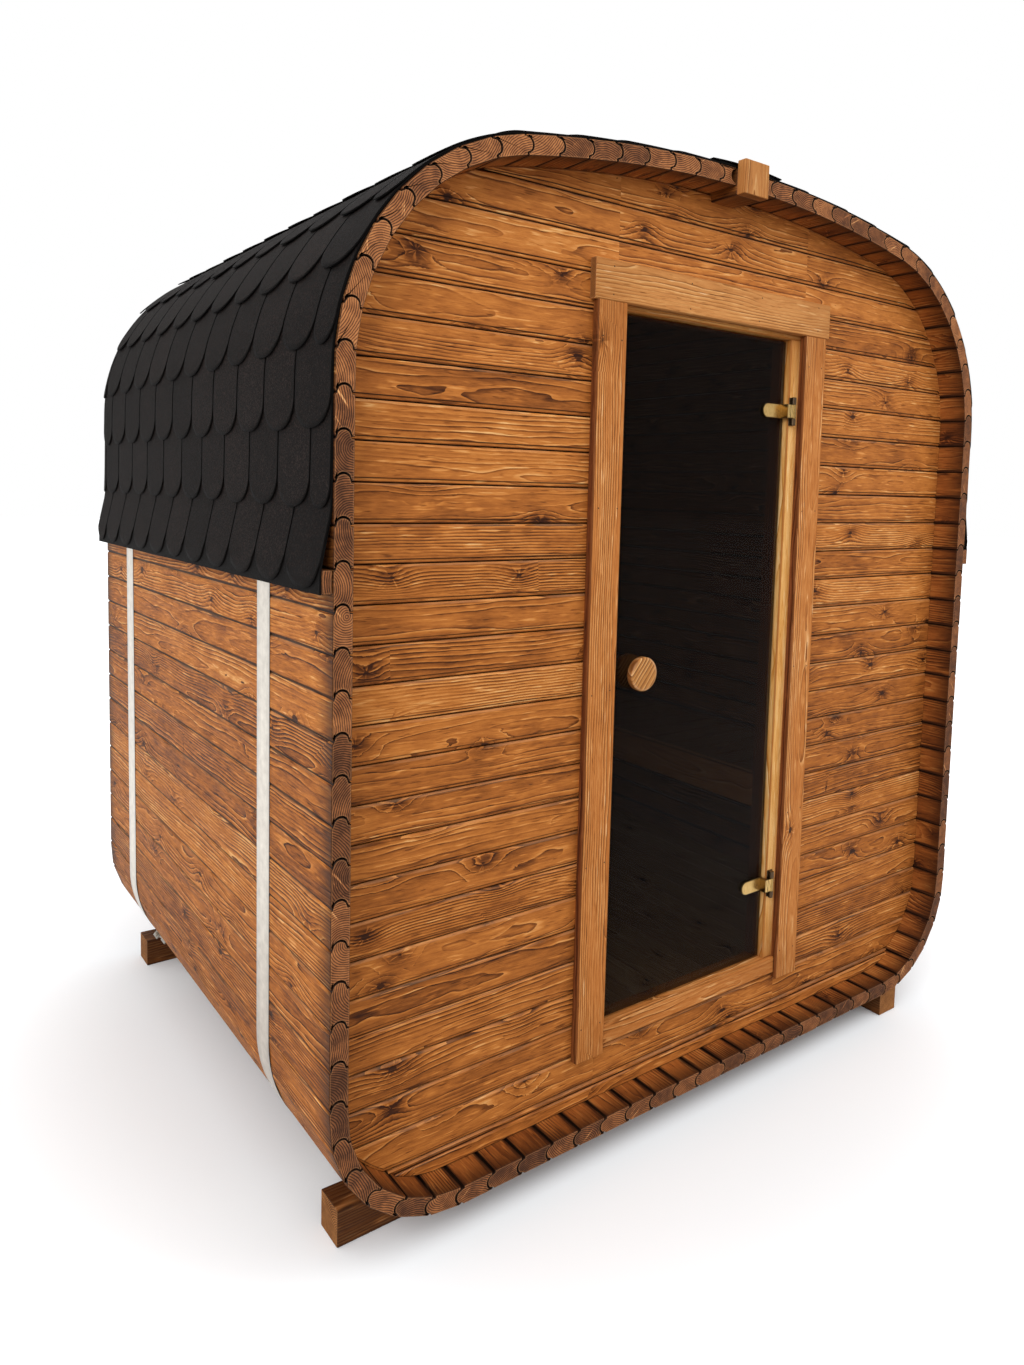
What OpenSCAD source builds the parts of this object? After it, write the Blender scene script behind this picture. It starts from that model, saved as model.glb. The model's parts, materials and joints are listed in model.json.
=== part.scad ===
// Outdoor sauna cabin: a rounded-square shell of staves on four timber feet, with recessed
// end walls, a framed glass door, a bench inside and bitumen shingles over the upper half.
// Millimetres, +Z up, the door faces -Y, origin on the ground under the middle of the cabin.

/* [Shell] */
// Overall width across the staves
shell_w = 2200; // [1900:50:2600]
// Depth of the shell from front ring to rear ring
shell_d = 1750; // [1500:50:2600]
// Height of the shell from its underside to the crown of the roof
shell_h = 2357; // [2300:10:2600]
// Thickness of a stave
stave_t = 42; // [38:1:50]
// Outer radius of the two lower corners
low_r = 315; // [260:5:400]
// Outer radius of the two upper corners
top_r = 525; // [420:5:600]
// Outer radius of the shallow roof arch
arch_r = 3500; // [3000:50:5000]
// How far the end walls stand back from the ring faces
overhang = 83; // [70:1:140]
// Staves round each lower corner
low_staves = 6; // [5:1:8]
// Staves round each upper corner
top_staves = 8; // [6:1:10]
// Staves in each half of the roof arch
arch_staves = 8; // [6:1:10]

/* [Ridge beam] */
// Width of the ridge beam
ridge_w = 88; // [60:2:120]
// How far the ridge beam hangs below the staves
ridge_drop = 22; // [10:1:60]
// How far the end blocks rise above the crown
block_rise = 17; // [5:1:40]
// Thickness of the end blocks on the ring faces
block_t = 27; // [15:1:45]

/* [Feet] */
// Height of the feet
foot_h = 86; // [80:1:140]
// How deep the shell sits in the saddle cut of the feet
seat_d = 8; // [4:1:20]
// Thickness of a foot across its grain
foot_w = 84; // [70:1:120]
// Length of the two left feet, which lie across the cabin
left_foot_l = 420; // [360:10:600]
// Length of the two right feet, which lie along the cabin
right_foot_l = 200; // [160:10:240]
// Distance of the front left foot from the front ring face
left_foot_in = 126; // [90:1:200]
// Distance of the rear left foot from the rear ring face
rear_foot_in = 57; // [40:1:140]
// Distance of the right feet from the ring faces
right_foot_in = 15; // [10:1:40]
// Distance of the left feet's ends from the shell's left side
left_foot_side = 80; // [40:5:200]
// How far the right feet reach out past the flat of the shell's underside
right_foot_over = 95; // [40:5:100]

/* [End walls] */
// Thickness of the end wall boards
wall_t = 42; // [38:1:50]
// Height of the base strips along the foot of the end walls
strip_h = 32; // [20:1:60]
// Thickness of the base strips
strip_t = 9; // [6:1:15]

/* [Door frame] */
// Width of the frame from outside to outside
frame_w = 690; // [640:10:800]
// Width of the jamb on the hinge side
jamb_w = 51; // [40:1:60]
// Width of the jamb on the knob side
latch_jamb_w = 35; // [30:1:60]
// Depth of the frame from front to back
frame_d = 60; // [50:1:90]
// Height of the frame head
head_h = 57; // [45:1:70]
// Height of the sill's top above the ground
sill_z = 302; // [280:2:360]
// Height of the sill board
sill_h = 48; // [35:1:60]
// How far the sill's nose stands out from the wall
sill_nose = 12; // [5:1:20]
// Height of the doorway from the sill to the frame head
door_h = 1767; // [1600:1:1900]
// Depth from the frame's face to the stop behind the glass
stop_in = 26; // [22:1:35]
// How far the stop stands into the doorway
stop_w = 10; // [6:1:14]

/* [Casing] */
// Width of the casing legs
casing_w = 90; // [70:5:120]
// Thickness of the casing boards
casing_t = 22; // [18:1:28]
// How far the casing legs lap over the frame
casing_lap = 15; // [5:1:25]
// Height of the casing head board
casing_head_h = 94; // [70:2:120]
// How far the casing head runs past the legs at each end
casing_over = 10; // [0:1:30]
// Height of the legs' lower ends above the ground
casing_z = 238; // [200:2:260]
// Height of the head board's lower edge above the frame's clear opening
casing_lift = 12; // [5:1:25]

/* [Door] */
// Thickness of the glass
glass_t = 8; // [6:1:10]
// Gap between the glass and the frame on each side
glass_gap = 6; // [5:1:8]
// Depth of the glass behind the frame's face
glass_in = 13; // [10:1:16]
// Diameter of the round knobs
knob_d = 86; // [60:2:90]
// Thickness of a knob
knob_t = 20; // [16:1:35]
// Length of the neck between a knob and the glass
neck_l = 12; // [8:1:20]
// Diameter of the necks
neck_d = 24; // [16:1:30]
// Distance of the knob's centre from the free edge of the glass
knob_in = 72; // [60:1:90]
// Height of the knob's centre above the ground
knob_z = 1190; // [1000:10:1300]

/* [Hinges] */
// Distance of the upper hinge from the glass's top edge
hinge_top_in = 190; // [120:5:300]
// Distance of the lower hinge from the glass's bottom edge
hinge_low_in = 218; // [120:2:300]
// Height of a clamp plate and of the barrel in its middle
clamp_h = 38; // [30:1:50]
// Length of the clamp plate on the front of the glass
clamp_l = 88; // [60:1:110]
// Thickness of the front clamp plate
clamp_t = 6; // [4:1:8]
// Thickness of the rear clamp plate
clamp_rear_t = 4; // [3:1:4]
// Diameter of the bosses that join the clamp plates through the glass
boss_d = 12; // [8:1:16]
// Distance between a clamp's two bosses
boss_pitch = 38; // [24:1:40]
// Height of each frame knuckle
knuckle_h = 19; // [14:1:26]
// Outer diameter of barrel and knuckles
barrel_d = 14; // [12:1:16]
// Diameter of the hinge pin
pin_d = 6; // [5:0.5:8]
// Distance of the pin from the face of the frame
pin_out = 11; // [10:0.5:12]
// Thickness of the leaf screwed to the frame
leaf_t = 2.5; // [2:0.5:3]

/* [Floor and bench] */
// Height of the floor's top above the ground
floor_z = 222; // [205:1:250]
// Thickness of the floor boards
floor_t = 22; // [18:1:30]
// Gap between the floor boards and the side staves
floor_clear = 12; // [5:1:30]
// Width of a floor joist
joist_w = 45; // [35:1:70]
// Height of the bench's top above the ground
bench_z = 720; // [600:10:900]
// Depth of the bench from its front to the side wall
bench_d = 458; // [380:2:600]
// Height of the bench's front board
apron_h = 114; // [90:1:160]
// Thickness of the bench's slats and front board
slat_t = 28; // [20:1:35]
// Slats in the bench
slat_count = 15; // [8:1:24]
// Gap between slats
slat_gap = 12; // [6:1:20]
// Thickness of the bench's rails and cleats
rail_t = 40; // [30:1:60]
// Height of the bench's rails and cleats
rail_h = 80; // [50:1:90]

/* [Roof covering] */
// Height of the covering's lower edges above the ground
cover_z = 1435; // [1200:5:1600]
// Thickness of the shingle covering
cover_t = 8; // [6:1:12]
// Distance of the covering's edges from the ring faces
cover_in = 3; // [0:1:20]
// Thickness of the starter battens
batten_t = 22; // [15:1:35]
// Height of the starter battens
batten_h = 47; // [35:1:70]
// Height of the stretch where the covering leans back to the shell
cover_lean = 110; // [60:5:200]

/* [Steel bands] */
// Width of a band
band_w = 75; // [40:1:90]
// Thickness of a band
band_t = 1.2; // [0.8:0.1:2]
// Distance of the front band from the front ring face
band_front_in = 313; // [250:1:500]
// Distance of the rear band from the rear ring face
band_rear_in = 254; // [250:1:500]
// Diameter of the tension bolts
bolt_d = 8; // [6:1:12]
// Distance of the front band's bolt from the end of the flat underside
front_bolt_in = 185; // [150:5:400]
// Height of the bolt lugs on a band
lug_h = 22; // [16:1:30]
// Gap between the two lugs of a band
lug_gap = 30; // [20:1:50]

/* [Hidden] */

eps = 0.01;
stained = "#a5652f";
end_grain = "#7b4e2b";
honey = "#c88b50";
pine = "#d9a767";
dark_foot = "#87572c";
bitumen = "#2b2a2a";
brass = "#b5985a";
black_steel = "#1d1d1d";
steel = "#b9bbbd";

// Shell outline
shell_z = foot_h - seat_d;
crown_z = shell_z + shell_h;
low_x = shell_w/2 - low_r;
low_z = shell_z + low_r;
top_x = shell_w/2 - top_r;
arch_z = crown_z - arch_r;
top_z = arch_z + sqrt(pow(arch_r - top_r, 2) - pow(top_x, 2));
corner_a = acos(top_x/(arch_r - top_r));
ridge_a = acos(ridge_w/2/arch_r);
ridge_top = arch_z + arch_r*sin(ridge_a);
ridge_bottom = arch_z + arch_r - stave_t - ridge_drop;

// Feet
left_foot_x = shell_w/2 - left_foot_side;
right_foot_x = low_x + right_foot_over;

// End walls and door opening, measured from the front
ring_y = -shell_d/2;
wall_y = ring_y + overhang;
wall_in_y = wall_y + wall_t;
hole_x = frame_w/2;
hole_z = sill_z - sill_h;
head_z = sill_z + door_h;
hole_top = head_z + head_h;
jamb_x = hole_x - jamb_w;
latch_x = hole_x - latch_jamb_w;
stop_y = wall_y + stop_in;
casing_gap = frame_w - 2*casing_lap;

// Door
glass_x = jamb_x - glass_gap;
glass_low_x = -latch_x + glass_gap;
glass_y = wall_y + glass_in;
glass_z = sill_z + glass_gap;
glass_h = door_h - 2*glass_gap;
pin_x = jamb_x + barrel_d/2 + 1;
pin_y = wall_y - pin_out;
knob_x = glass_low_x + knob_in;
upper_hinge_z = glass_z + glass_h - hinge_top_in;
lower_hinge_z = glass_z + hinge_low_in;
barrel_gap = 0.5;
pin_clear = 0.1;
boss_clear = 0.3;
round_x = glass_x - clamp_l + clamp_h/2;
clamp_block = 18;
arm_t = 12;
leaf_w = 22;

// Bench
bench_x = shell_w/2 - stave_t - bench_d;
bench_end = -wall_in_y;
slat_pitch = (2*bench_end + slat_gap)/slat_count;

// Angle round the lower left corner of the third stave, where the rear band's bolt sits
rear_bolt_a = 180 + 2.5*90/low_staves;
rear_bolt_r = low_r*cos(45/low_staves) + band_t/2;
// Distance of the front band's bolt from the middle, under the shell
front_bolt_x = low_x - front_bolt_in;
lug_t = 4;
bolt_over = 14;

// Points on an arc about (cx, cz), from angle a0 to a1 in n steps
function arc(cx, cz, r, a0, a1, n) =
    [for (i = [0:n]) [cx + r*cos(a0 + (a1 - a0)*i/n), cz + r*sin(a0 + (a1 - a0)*i/n)]];

function reversed(points) = [for (i = [len(points) - 1:-1:0]) points[i]];

function mirrored(points) = [for (i = [len(points) - 1:-1:0]) [-points[i][0], points[i][1]]];

// Right half of the shell's outline, set outwards by "out", from underneath to the ridge
function half_outline(out) = concat(
    arc(low_x, low_z, low_r + out, -90, 0, low_staves),
    arc(top_x, top_z, top_r + out, 0, corner_a, top_staves),
    [for (i = [1:arch_staves])
        let (a = corner_a + (ridge_a - corner_a)*i/arch_staves)
        [(arch_r + out)*cos(a), arch_z + (arch_r + out)*sin(a)]]);

function outline(out) = concat(half_outline(out), mirrored(half_outline(out)));

// Extrudes a shape drawn in X and Z from y0 to y1
module along_y(y0, y1) {
    translate([0, y1, 0])
        rotate([90, 0, 0])
            linear_extrude(y1 - y0)
                children();
}

// A box from its two corners
module box(low, high) {
    translate(low)
        cube(high - low);
}

// The shell's outline as a solid, set outwards by "out"
module outline_solid(out, y0, y1) {
    along_y(y0, y1)
        polygon(outline(out));
}

// Staves between two radii over part of a turn
module stave_arc(cx, cz, r, a0, a1, n) {
    along_y(-shell_d/2, shell_d/2)
        polygon(concat(arc(cx, cz, r, a0, a1, n), reversed(arc(cx, cz, r - stave_t, a0, a1, n))));
}

module left_foot(y) {
    color(dark_foot)
        difference() {
            box([-left_foot_x, y, 0], [-left_foot_x + left_foot_l, y + foot_w, foot_h]);
            outline_solid(0, -shell_d, shell_d);
        }
}

module right_foot(y) {
    color(dark_foot)
        difference() {
            box([right_foot_x - foot_w, y, 0], [right_foot_x, y + right_foot_l, foot_h]);
            outline_solid(0, -shell_d, shell_d);
        }
}

module foot_front_left() { left_foot(ring_y + left_foot_in); }

module foot_rear_left() { left_foot(-ring_y - rear_foot_in - foot_w); }

module foot_front_right() { right_foot(ring_y + right_foot_in); }

module foot_rear_right() { right_foot(-ring_y - right_foot_in - right_foot_l); }

module shell_bottom() {
    color(end_grain)
        box([-low_x, ring_y, shell_z], [low_x, -ring_y, shell_z + stave_t]);
}

module shell_corner_bottom_right() {
    color(end_grain)
        stave_arc(low_x, low_z, low_r, -90, 0, low_staves);
}

module shell_corner_bottom_left() {
    mirror([1, 0, 0])
        shell_corner_bottom_right();
}

module shell_side_right() {
    color(stained)
        box([shell_w/2 - stave_t, ring_y, low_z], [shell_w/2, -ring_y, top_z]);
}

module shell_side_left() {
    mirror([1, 0, 0])
        shell_side_right();
}

module shell_corner_top_right() {
    color(end_grain)
        stave_arc(top_x, top_z, top_r, 0, corner_a, top_staves);
}

module shell_corner_top_left() {
    mirror([1, 0, 0])
        shell_corner_top_right();
}

// The last stave meets the ridge beam's upright side
module shell_roof_right() {
    color(end_grain)
        difference() {
            stave_arc(0, arch_z, arch_r, corner_a, ridge_a, arch_staves);
            box([-ridge_w, -shell_d, 0], [ridge_w/2, shell_d, 2*crown_z]);
        }
}

module shell_roof_left() {
    mirror([1, 0, 0])
        shell_roof_right();
}

module ridge_beam() {
    color(stained)
        along_y(ring_y, -ring_y)
            polygon([[-ridge_w/2, ridge_bottom], [ridge_w/2, ridge_bottom],
                [ridge_w/2, ridge_top], [-ridge_w/2, ridge_top]]);
}

module ridge_end_blocks() {
    color(honey)
        for (y = [ring_y - block_t, -ring_y])
            box([-ridge_w/2, y, ridge_bottom], [ridge_w/2, y + block_t, crown_z + block_rise]);
}

// A whole end wall, with the notch for the ridge beam
module end_wall(y) {
    difference() {
        outline_solid(-stave_t, y, y + wall_t);
        box([-ridge_w/2, -shell_d, ridge_bottom], [ridge_w/2, shell_d, 2*crown_z]);
    }
}

module front_wall_part(low, high) {
    color(stained)
        intersection() {
            end_wall(wall_y);
            box([low[0], -shell_d, low[1]], [high[0], shell_d, high[1]]);
        }
}

module front_wall_left() { front_wall_part([-shell_w, 0], [-hole_x, 2*crown_z]); }

module front_wall_right() { front_wall_part([hole_x, 0], [shell_w, 2*crown_z]); }

module front_wall_top() { front_wall_part([-hole_x, hole_top], [hole_x, 2*crown_z]); }

module front_wall_bottom() { front_wall_part([-hole_x, 0], [hole_x, hole_z]); }

module rear_wall() {
    color(stained)
        end_wall(-wall_in_y);
}

module base_strips() {
    strip_z = shell_z + stave_t;
    color(stained)
        for (y = [wall_y - strip_t, -wall_y])
            intersection() {
                outline_solid(-stave_t, y, y + strip_t);
                box([-shell_w, -shell_d, 0], [shell_w, shell_d, strip_z + strip_h]);
            }
}

// A jamb with its stop, from its inner face at x to the opening's edge
module frame_jamb(x) {
    color(pine) {
        box([x, wall_y, sill_z], [hole_x, wall_y + frame_d, head_z]);
        box([x - stop_w, stop_y, sill_z], [x + eps, wall_y + frame_d, head_z]);
    }
}

module frame_jamb_right() { frame_jamb(jamb_x); }

module frame_jamb_left() {
    mirror([1, 0, 0])
        frame_jamb(latch_x);
}

module frame_head() {
    color(pine)
        difference() {
            box([-hole_x, wall_y, head_z - stop_w], [hole_x, wall_y + frame_d, hole_top]);
            box([-hole_x - eps, wall_y - eps, 0], [hole_x + eps, stop_y, head_z]);
            box([-hole_x - eps, -shell_d, 0], [-latch_x + stop_w, shell_d, head_z]);
            box([jamb_x - stop_w, -shell_d, 0], [hole_x + eps, shell_d, head_z]);
        }
}

module door_sill() {
    color(stained) {
        box([-hole_x, wall_y, hole_z], [hole_x, wall_y + frame_d, sill_z]);
        box([-casing_gap/2, wall_y - sill_nose, hole_z], [casing_gap/2, wall_y + eps, sill_z]);
    }
}

module casing_right() {
    color(honey)
        box([casing_gap/2, wall_y - casing_t, casing_z],
            [casing_gap/2 + casing_w, wall_y, head_z + casing_lift]);
}

module casing_left() {
    mirror([1, 0, 0])
        casing_right();
}

module casing_head() {
    half = casing_gap/2 + casing_w + casing_over;
    low = head_z + casing_lift;
    color(honey)
        box([-half, wall_y - casing_t, low], [half, wall_y, low + casing_head_h]);
}

module door_glass() {
    color("#1b1715")
        difference() {
            box([glass_low_x, glass_y, glass_z], [glass_x, glass_y + glass_t, glass_z + glass_h]);
            for (z = [lower_hinge_z, upper_hinge_z])
                clamp_bosses(z, glass_y - glass_t, 3*glass_t, boss_d + 2*boss_clear);
        }
}

// A round knob whose neck starts at y and runs towards "way", -1 outside or 1 inside
module knob(y, way) {
    color(honey)
        translate([knob_x, y, knob_z])
            rotate([-90*way, 0, 0]) {
                cylinder(h = neck_l + eps, d = neck_d, $fn = 48);
                translate([0, 0, neck_l])
                    cylinder(h = knob_t, d = knob_d, $fn = 64);
            }
}

module door_knob_outside() { knob(glass_y, -1); }

module door_knob_inside() { knob(glass_y + glass_t, 1); }

// The two round bosses of a clamp, from y inwards
module clamp_bosses(z, y, length, d) {
    for (x = [round_x + boss_d/2, round_x + boss_d/2 + boss_pitch])
        translate([x, y, z])
            rotate([-90, 0, 0])
                cylinder(h = length, d = d, $fn = 48);
}

// Glass clamp with its barrel, about the height z
module hinge_clamp(z) {
    rear_end = jamb_x - stop_w - glass_gap;
    color(brass)
        translate([0, 0, z])
            difference() {
                union() {
                    box([round_x, glass_y - clamp_t, -clamp_h/2], [glass_x, glass_y, clamp_h/2]);
                    translate([round_x, glass_y, 0])
                        rotate([90, 0, 0])
                            cylinder(h = clamp_t, d = clamp_h, $fn = 48);
                    box([glass_x - clamp_block, pin_y - arm_t/2, -clamp_h/2],
                        [glass_x, glass_y, clamp_h/2]);
                    box([glass_x - clamp_block, pin_y - arm_t/2, -clamp_h/2],
                        [pin_x, pin_y + arm_t/2, clamp_h/2]);
                    translate([pin_x, pin_y, -clamp_h/2])
                        cylinder(h = clamp_h, d = barrel_d, $fn = 48);
                    box([round_x, glass_y + glass_t, -clamp_h/2],
                        [rear_end, glass_y + glass_t + clamp_rear_t, clamp_h/2]);
                    clamp_bosses(0, glass_y - clamp_t/2, glass_t + clamp_t/2 + clamp_rear_t/2, boss_d);
                }
                translate([pin_x, pin_y, -clamp_h])
                    cylinder(h = 2*clamp_h, d = pin_d + 2*pin_clear, $fn = 48);
            }
}

module hinge_clamp_upper() { hinge_clamp(upper_hinge_z); }

module hinge_clamp_lower() { hinge_clamp(lower_hinge_z); }

// Frame side of one hinge: pin, two knuckles and the leaf on the jamb
module hinge_knuckle(z) {
    half = clamp_h/2 + barrel_gap + knuckle_h;
    translate([0, 0, z]) {
        translate([pin_x, pin_y, -half])
            cylinder(h = 2*half, d = pin_d, $fn = 48);
        for (low = [-half, half - knuckle_h]) {
            translate([pin_x, pin_y, low])
                cylinder(h = knuckle_h, d = barrel_d, $fn = 48);
            box([pin_x - barrel_d/4, pin_y, low], [pin_x + barrel_d/4, wall_y, low + knuckle_h]);
        }
        box([jamb_x + 1, wall_y - leaf_t, -half], [jamb_x + 1 + leaf_w, wall_y, half]);
    }
}

module hinge_knuckles() {
    color(black_steel)
        for (z = [upper_hinge_z, lower_hinge_z])
            hinge_knuckle(z);
}

module floor_joists() {
    reach = bench_end - 2*joist_w;
    color(stained)
        for (y = [-reach, -joist_w/2, reach - joist_w])
            box([-low_x, y, shell_z + stave_t], [low_x, y + joist_w, floor_z - floor_t]);
}

module floor_boards() {
    color(stained)
        intersection() {
            outline_solid(-stave_t - floor_clear, wall_in_y, -wall_in_y);
            box([-shell_w, -shell_d, floor_z - floor_t], [shell_w, shell_d, floor_z]);
        }
}

// Rails run from end wall to end wall, one behind the front board and one on the side wall
module bench_rails() {
    top = bench_z - slat_t;
    color(stained)
        for (x = [bench_x + slat_t, shell_w/2 - stave_t - rail_t])
            box([x, wall_in_y, top - rail_h], [x + rail_t, bench_end, top]);
}

module bench_end_cleats() {
    top = bench_z - slat_t;
    color(stained)
        for (y = [wall_in_y, bench_end - rail_t])
            box([bench_x + slat_t + rail_t, y, top - rail_h],
                [shell_w/2 - stave_t - rail_t, y + rail_t, top]);
}

module bench_slats() {
    color(honey)
        for (i = [0:slat_count - 1])
            box([bench_x + slat_t, wall_in_y + i*slat_pitch, bench_z - slat_t],
                [shell_w/2 - stave_t, wall_in_y + (i + 1)*slat_pitch - slat_gap, bench_z]);
}

module bench_front_board() {
    color(honey)
        box([bench_x, wall_in_y, bench_z - apron_h], [bench_x + slat_t, bench_end, bench_z]);
}

// Both bands as solids, for the grooves over them
module band_zone() {
    for (y = [ring_y + band_front_in, -ring_y - band_rear_in - band_w])
        outline_solid(band_t, y, y + band_w);
}

module starter_battens() {
    color(stained)
        for (side = [0, 1])
            mirror([side, 0, 0])
                difference() {
                    box([shell_w/2, ring_y + cover_in, cover_z],
                        [shell_w/2 + batten_t, -ring_y - cover_in, cover_z + batten_h]);
                    band_zone();
                }
}

// Covering of the right half: it hangs over the batten, leans back to the shell and
// follows the staves up to the ridge
function cover_line(out) = concat(
    [[shell_w/2 + batten_t + out, cover_z],
     [shell_w/2 + batten_t + out, cover_z + batten_h],
     [shell_w/2 + out, cover_z + batten_h + cover_lean]],
    arc(top_x, top_z, top_r + out, 0, corner_a, top_staves),
    [for (i = [1:arch_staves])
        let (a = corner_a + (ridge_a - corner_a)*i/arch_staves)
        [(arch_r + out)*cos(a), arch_z + (arch_r + out)*sin(a)]],
    [[0, ridge_top + out]]);

module shingles_right() {
    color(bitumen)
        difference() {
            along_y(ring_y + cover_in, -ring_y - cover_in)
                polygon(concat(cover_line(cover_t), reversed(cover_line(0))));
            band_zone();
        }
}

module shingles_left() {
    mirror([1, 0, 0])
        shingles_right();
}

// Two lugs with a bolt through them, standing off the X axis and centred on y
module band_bolt(y) {
    translate([0, y, 0]) {
        for (x = [-lug_gap/2 - lug_t, lug_gap/2])
            box([x, -band_w/4, -lug_h], [x + lug_t, band_w/4, 0]);
        translate([-lug_gap/2 - lug_t - bolt_over, 0, -lug_h/2])
            rotate([0, 90, 0])
                cylinder(h = lug_gap + 2*lug_t + 2*bolt_over, d = bolt_d, $fn = 24);
    }
}

module band(y) {
    difference() {
        outline_solid(band_t, y, y + band_w);
        outline_solid(0, -shell_d, shell_d);
    }
}

module steel_band_front() {
    y = ring_y + band_front_in;
    color(steel) {
        band(y);
        translate([-front_bolt_x, 0, shell_z - band_t/2])
            band_bolt(y + band_w/2);
    }
}

module steel_band_rear() {
    y = -ring_y - band_rear_in - band_w;
    color(steel) {
        band(y);
        translate([-low_x, 0, low_z])
            rotate([0, 270 - rear_bolt_a, 0])
                translate([0, 0, -rear_bolt_r])
                    band_bolt(y + band_w/2);
    }
}

foot_front_left();
foot_front_right();
foot_rear_left();
foot_rear_right();
shell_bottom();
shell_corner_bottom_left();
shell_corner_bottom_right();
shell_side_left();
shell_side_right();
shell_corner_top_left();
shell_corner_top_right();
shell_roof_left();
shell_roof_right();
ridge_beam();
ridge_end_blocks();
front_wall_left();
front_wall_right();
front_wall_top();
front_wall_bottom();
rear_wall();
base_strips();
frame_jamb_left();
frame_jamb_right();
frame_head();
door_sill();
casing_left();
casing_right();
casing_head();
door_glass();
door_knob_outside();
door_knob_inside();
hinge_clamp_upper();
hinge_clamp_lower();
hinge_knuckles();
floor_joists();
floor_boards();
bench_rails();
bench_end_cleats();
bench_slats();
bench_front_board();
starter_battens();
shingles_left();
shingles_right();
steel_band_front();
steel_band_rear();
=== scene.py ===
import json
from math import acos, cos, pi, radians, sin, sqrt
from random import Random

import bmesh
import bpy
from mathutils import Matrix, Vector


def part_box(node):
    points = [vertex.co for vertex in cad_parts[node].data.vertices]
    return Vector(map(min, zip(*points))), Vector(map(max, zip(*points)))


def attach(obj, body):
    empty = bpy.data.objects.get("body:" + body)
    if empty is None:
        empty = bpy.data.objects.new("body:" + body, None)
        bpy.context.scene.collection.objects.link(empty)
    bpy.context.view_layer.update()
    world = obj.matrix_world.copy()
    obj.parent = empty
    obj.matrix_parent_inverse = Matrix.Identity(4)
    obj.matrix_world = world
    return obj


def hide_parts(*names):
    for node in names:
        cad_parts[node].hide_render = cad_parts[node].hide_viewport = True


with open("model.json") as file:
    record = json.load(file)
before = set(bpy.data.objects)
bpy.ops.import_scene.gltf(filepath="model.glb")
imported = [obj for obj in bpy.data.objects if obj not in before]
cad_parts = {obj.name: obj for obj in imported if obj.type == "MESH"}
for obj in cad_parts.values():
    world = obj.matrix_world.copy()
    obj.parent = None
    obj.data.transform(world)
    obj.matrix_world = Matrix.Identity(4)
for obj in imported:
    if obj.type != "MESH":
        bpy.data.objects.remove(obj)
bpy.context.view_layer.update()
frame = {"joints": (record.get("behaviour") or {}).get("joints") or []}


def plug(tree, socket, value):
    if isinstance(value, Shade):
        tree.links.new(value.socket, socket)
    elif isinstance(value, str):
        socket.default_value = (*paint(value), 1)
    else:
        socket.default_value = value


def paint(code):
    # a colour as it is written on screen, turned into the renderer's linear numbers
    parts = [int(code[i:i + 2], 16) / 255 for i in (1, 3, 5)]
    return tuple(p / 12.92 if p <= 0.04045 else ((p + 0.055) / 1.055) ** 2.4 for p in parts)


class Shade:
    # one shader value; sums and products of it add their own Math nodes
    def __init__(self, tree, socket):
        self.tree, self.socket = tree, socket

    def between(self, operation, *values):
        node = self.tree.nodes.new("ShaderNodeMath")
        node.operation = operation
        for socket, value in zip(node.inputs, values):
            plug(self.tree, socket, value)
        return Shade(self.tree, node.outputs[0])

    def maths(self, operation, *others):
        return self.between(operation, self, *others)

    def __add__(self, other):
        return self.between("ADD", self, other)

    def __radd__(self, other):
        return self.between("ADD", other, self)

    def __sub__(self, other):
        return self.between("SUBTRACT", self, other)

    def __rsub__(self, other):
        return self.between("SUBTRACT", other, self)

    def __mul__(self, other):
        return self.between("MULTIPLY", self, other)

    def __truediv__(self, other):
        return self.between("DIVIDE", self, other)

    def __rtruediv__(self, other):
        return self.between("DIVIDE", other, self)

    def __pow__(self, other):
        return self.between("POWER", self, other)

    def __lt__(self, other):
        return self.between("LESS_THAN", self, other)


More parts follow.
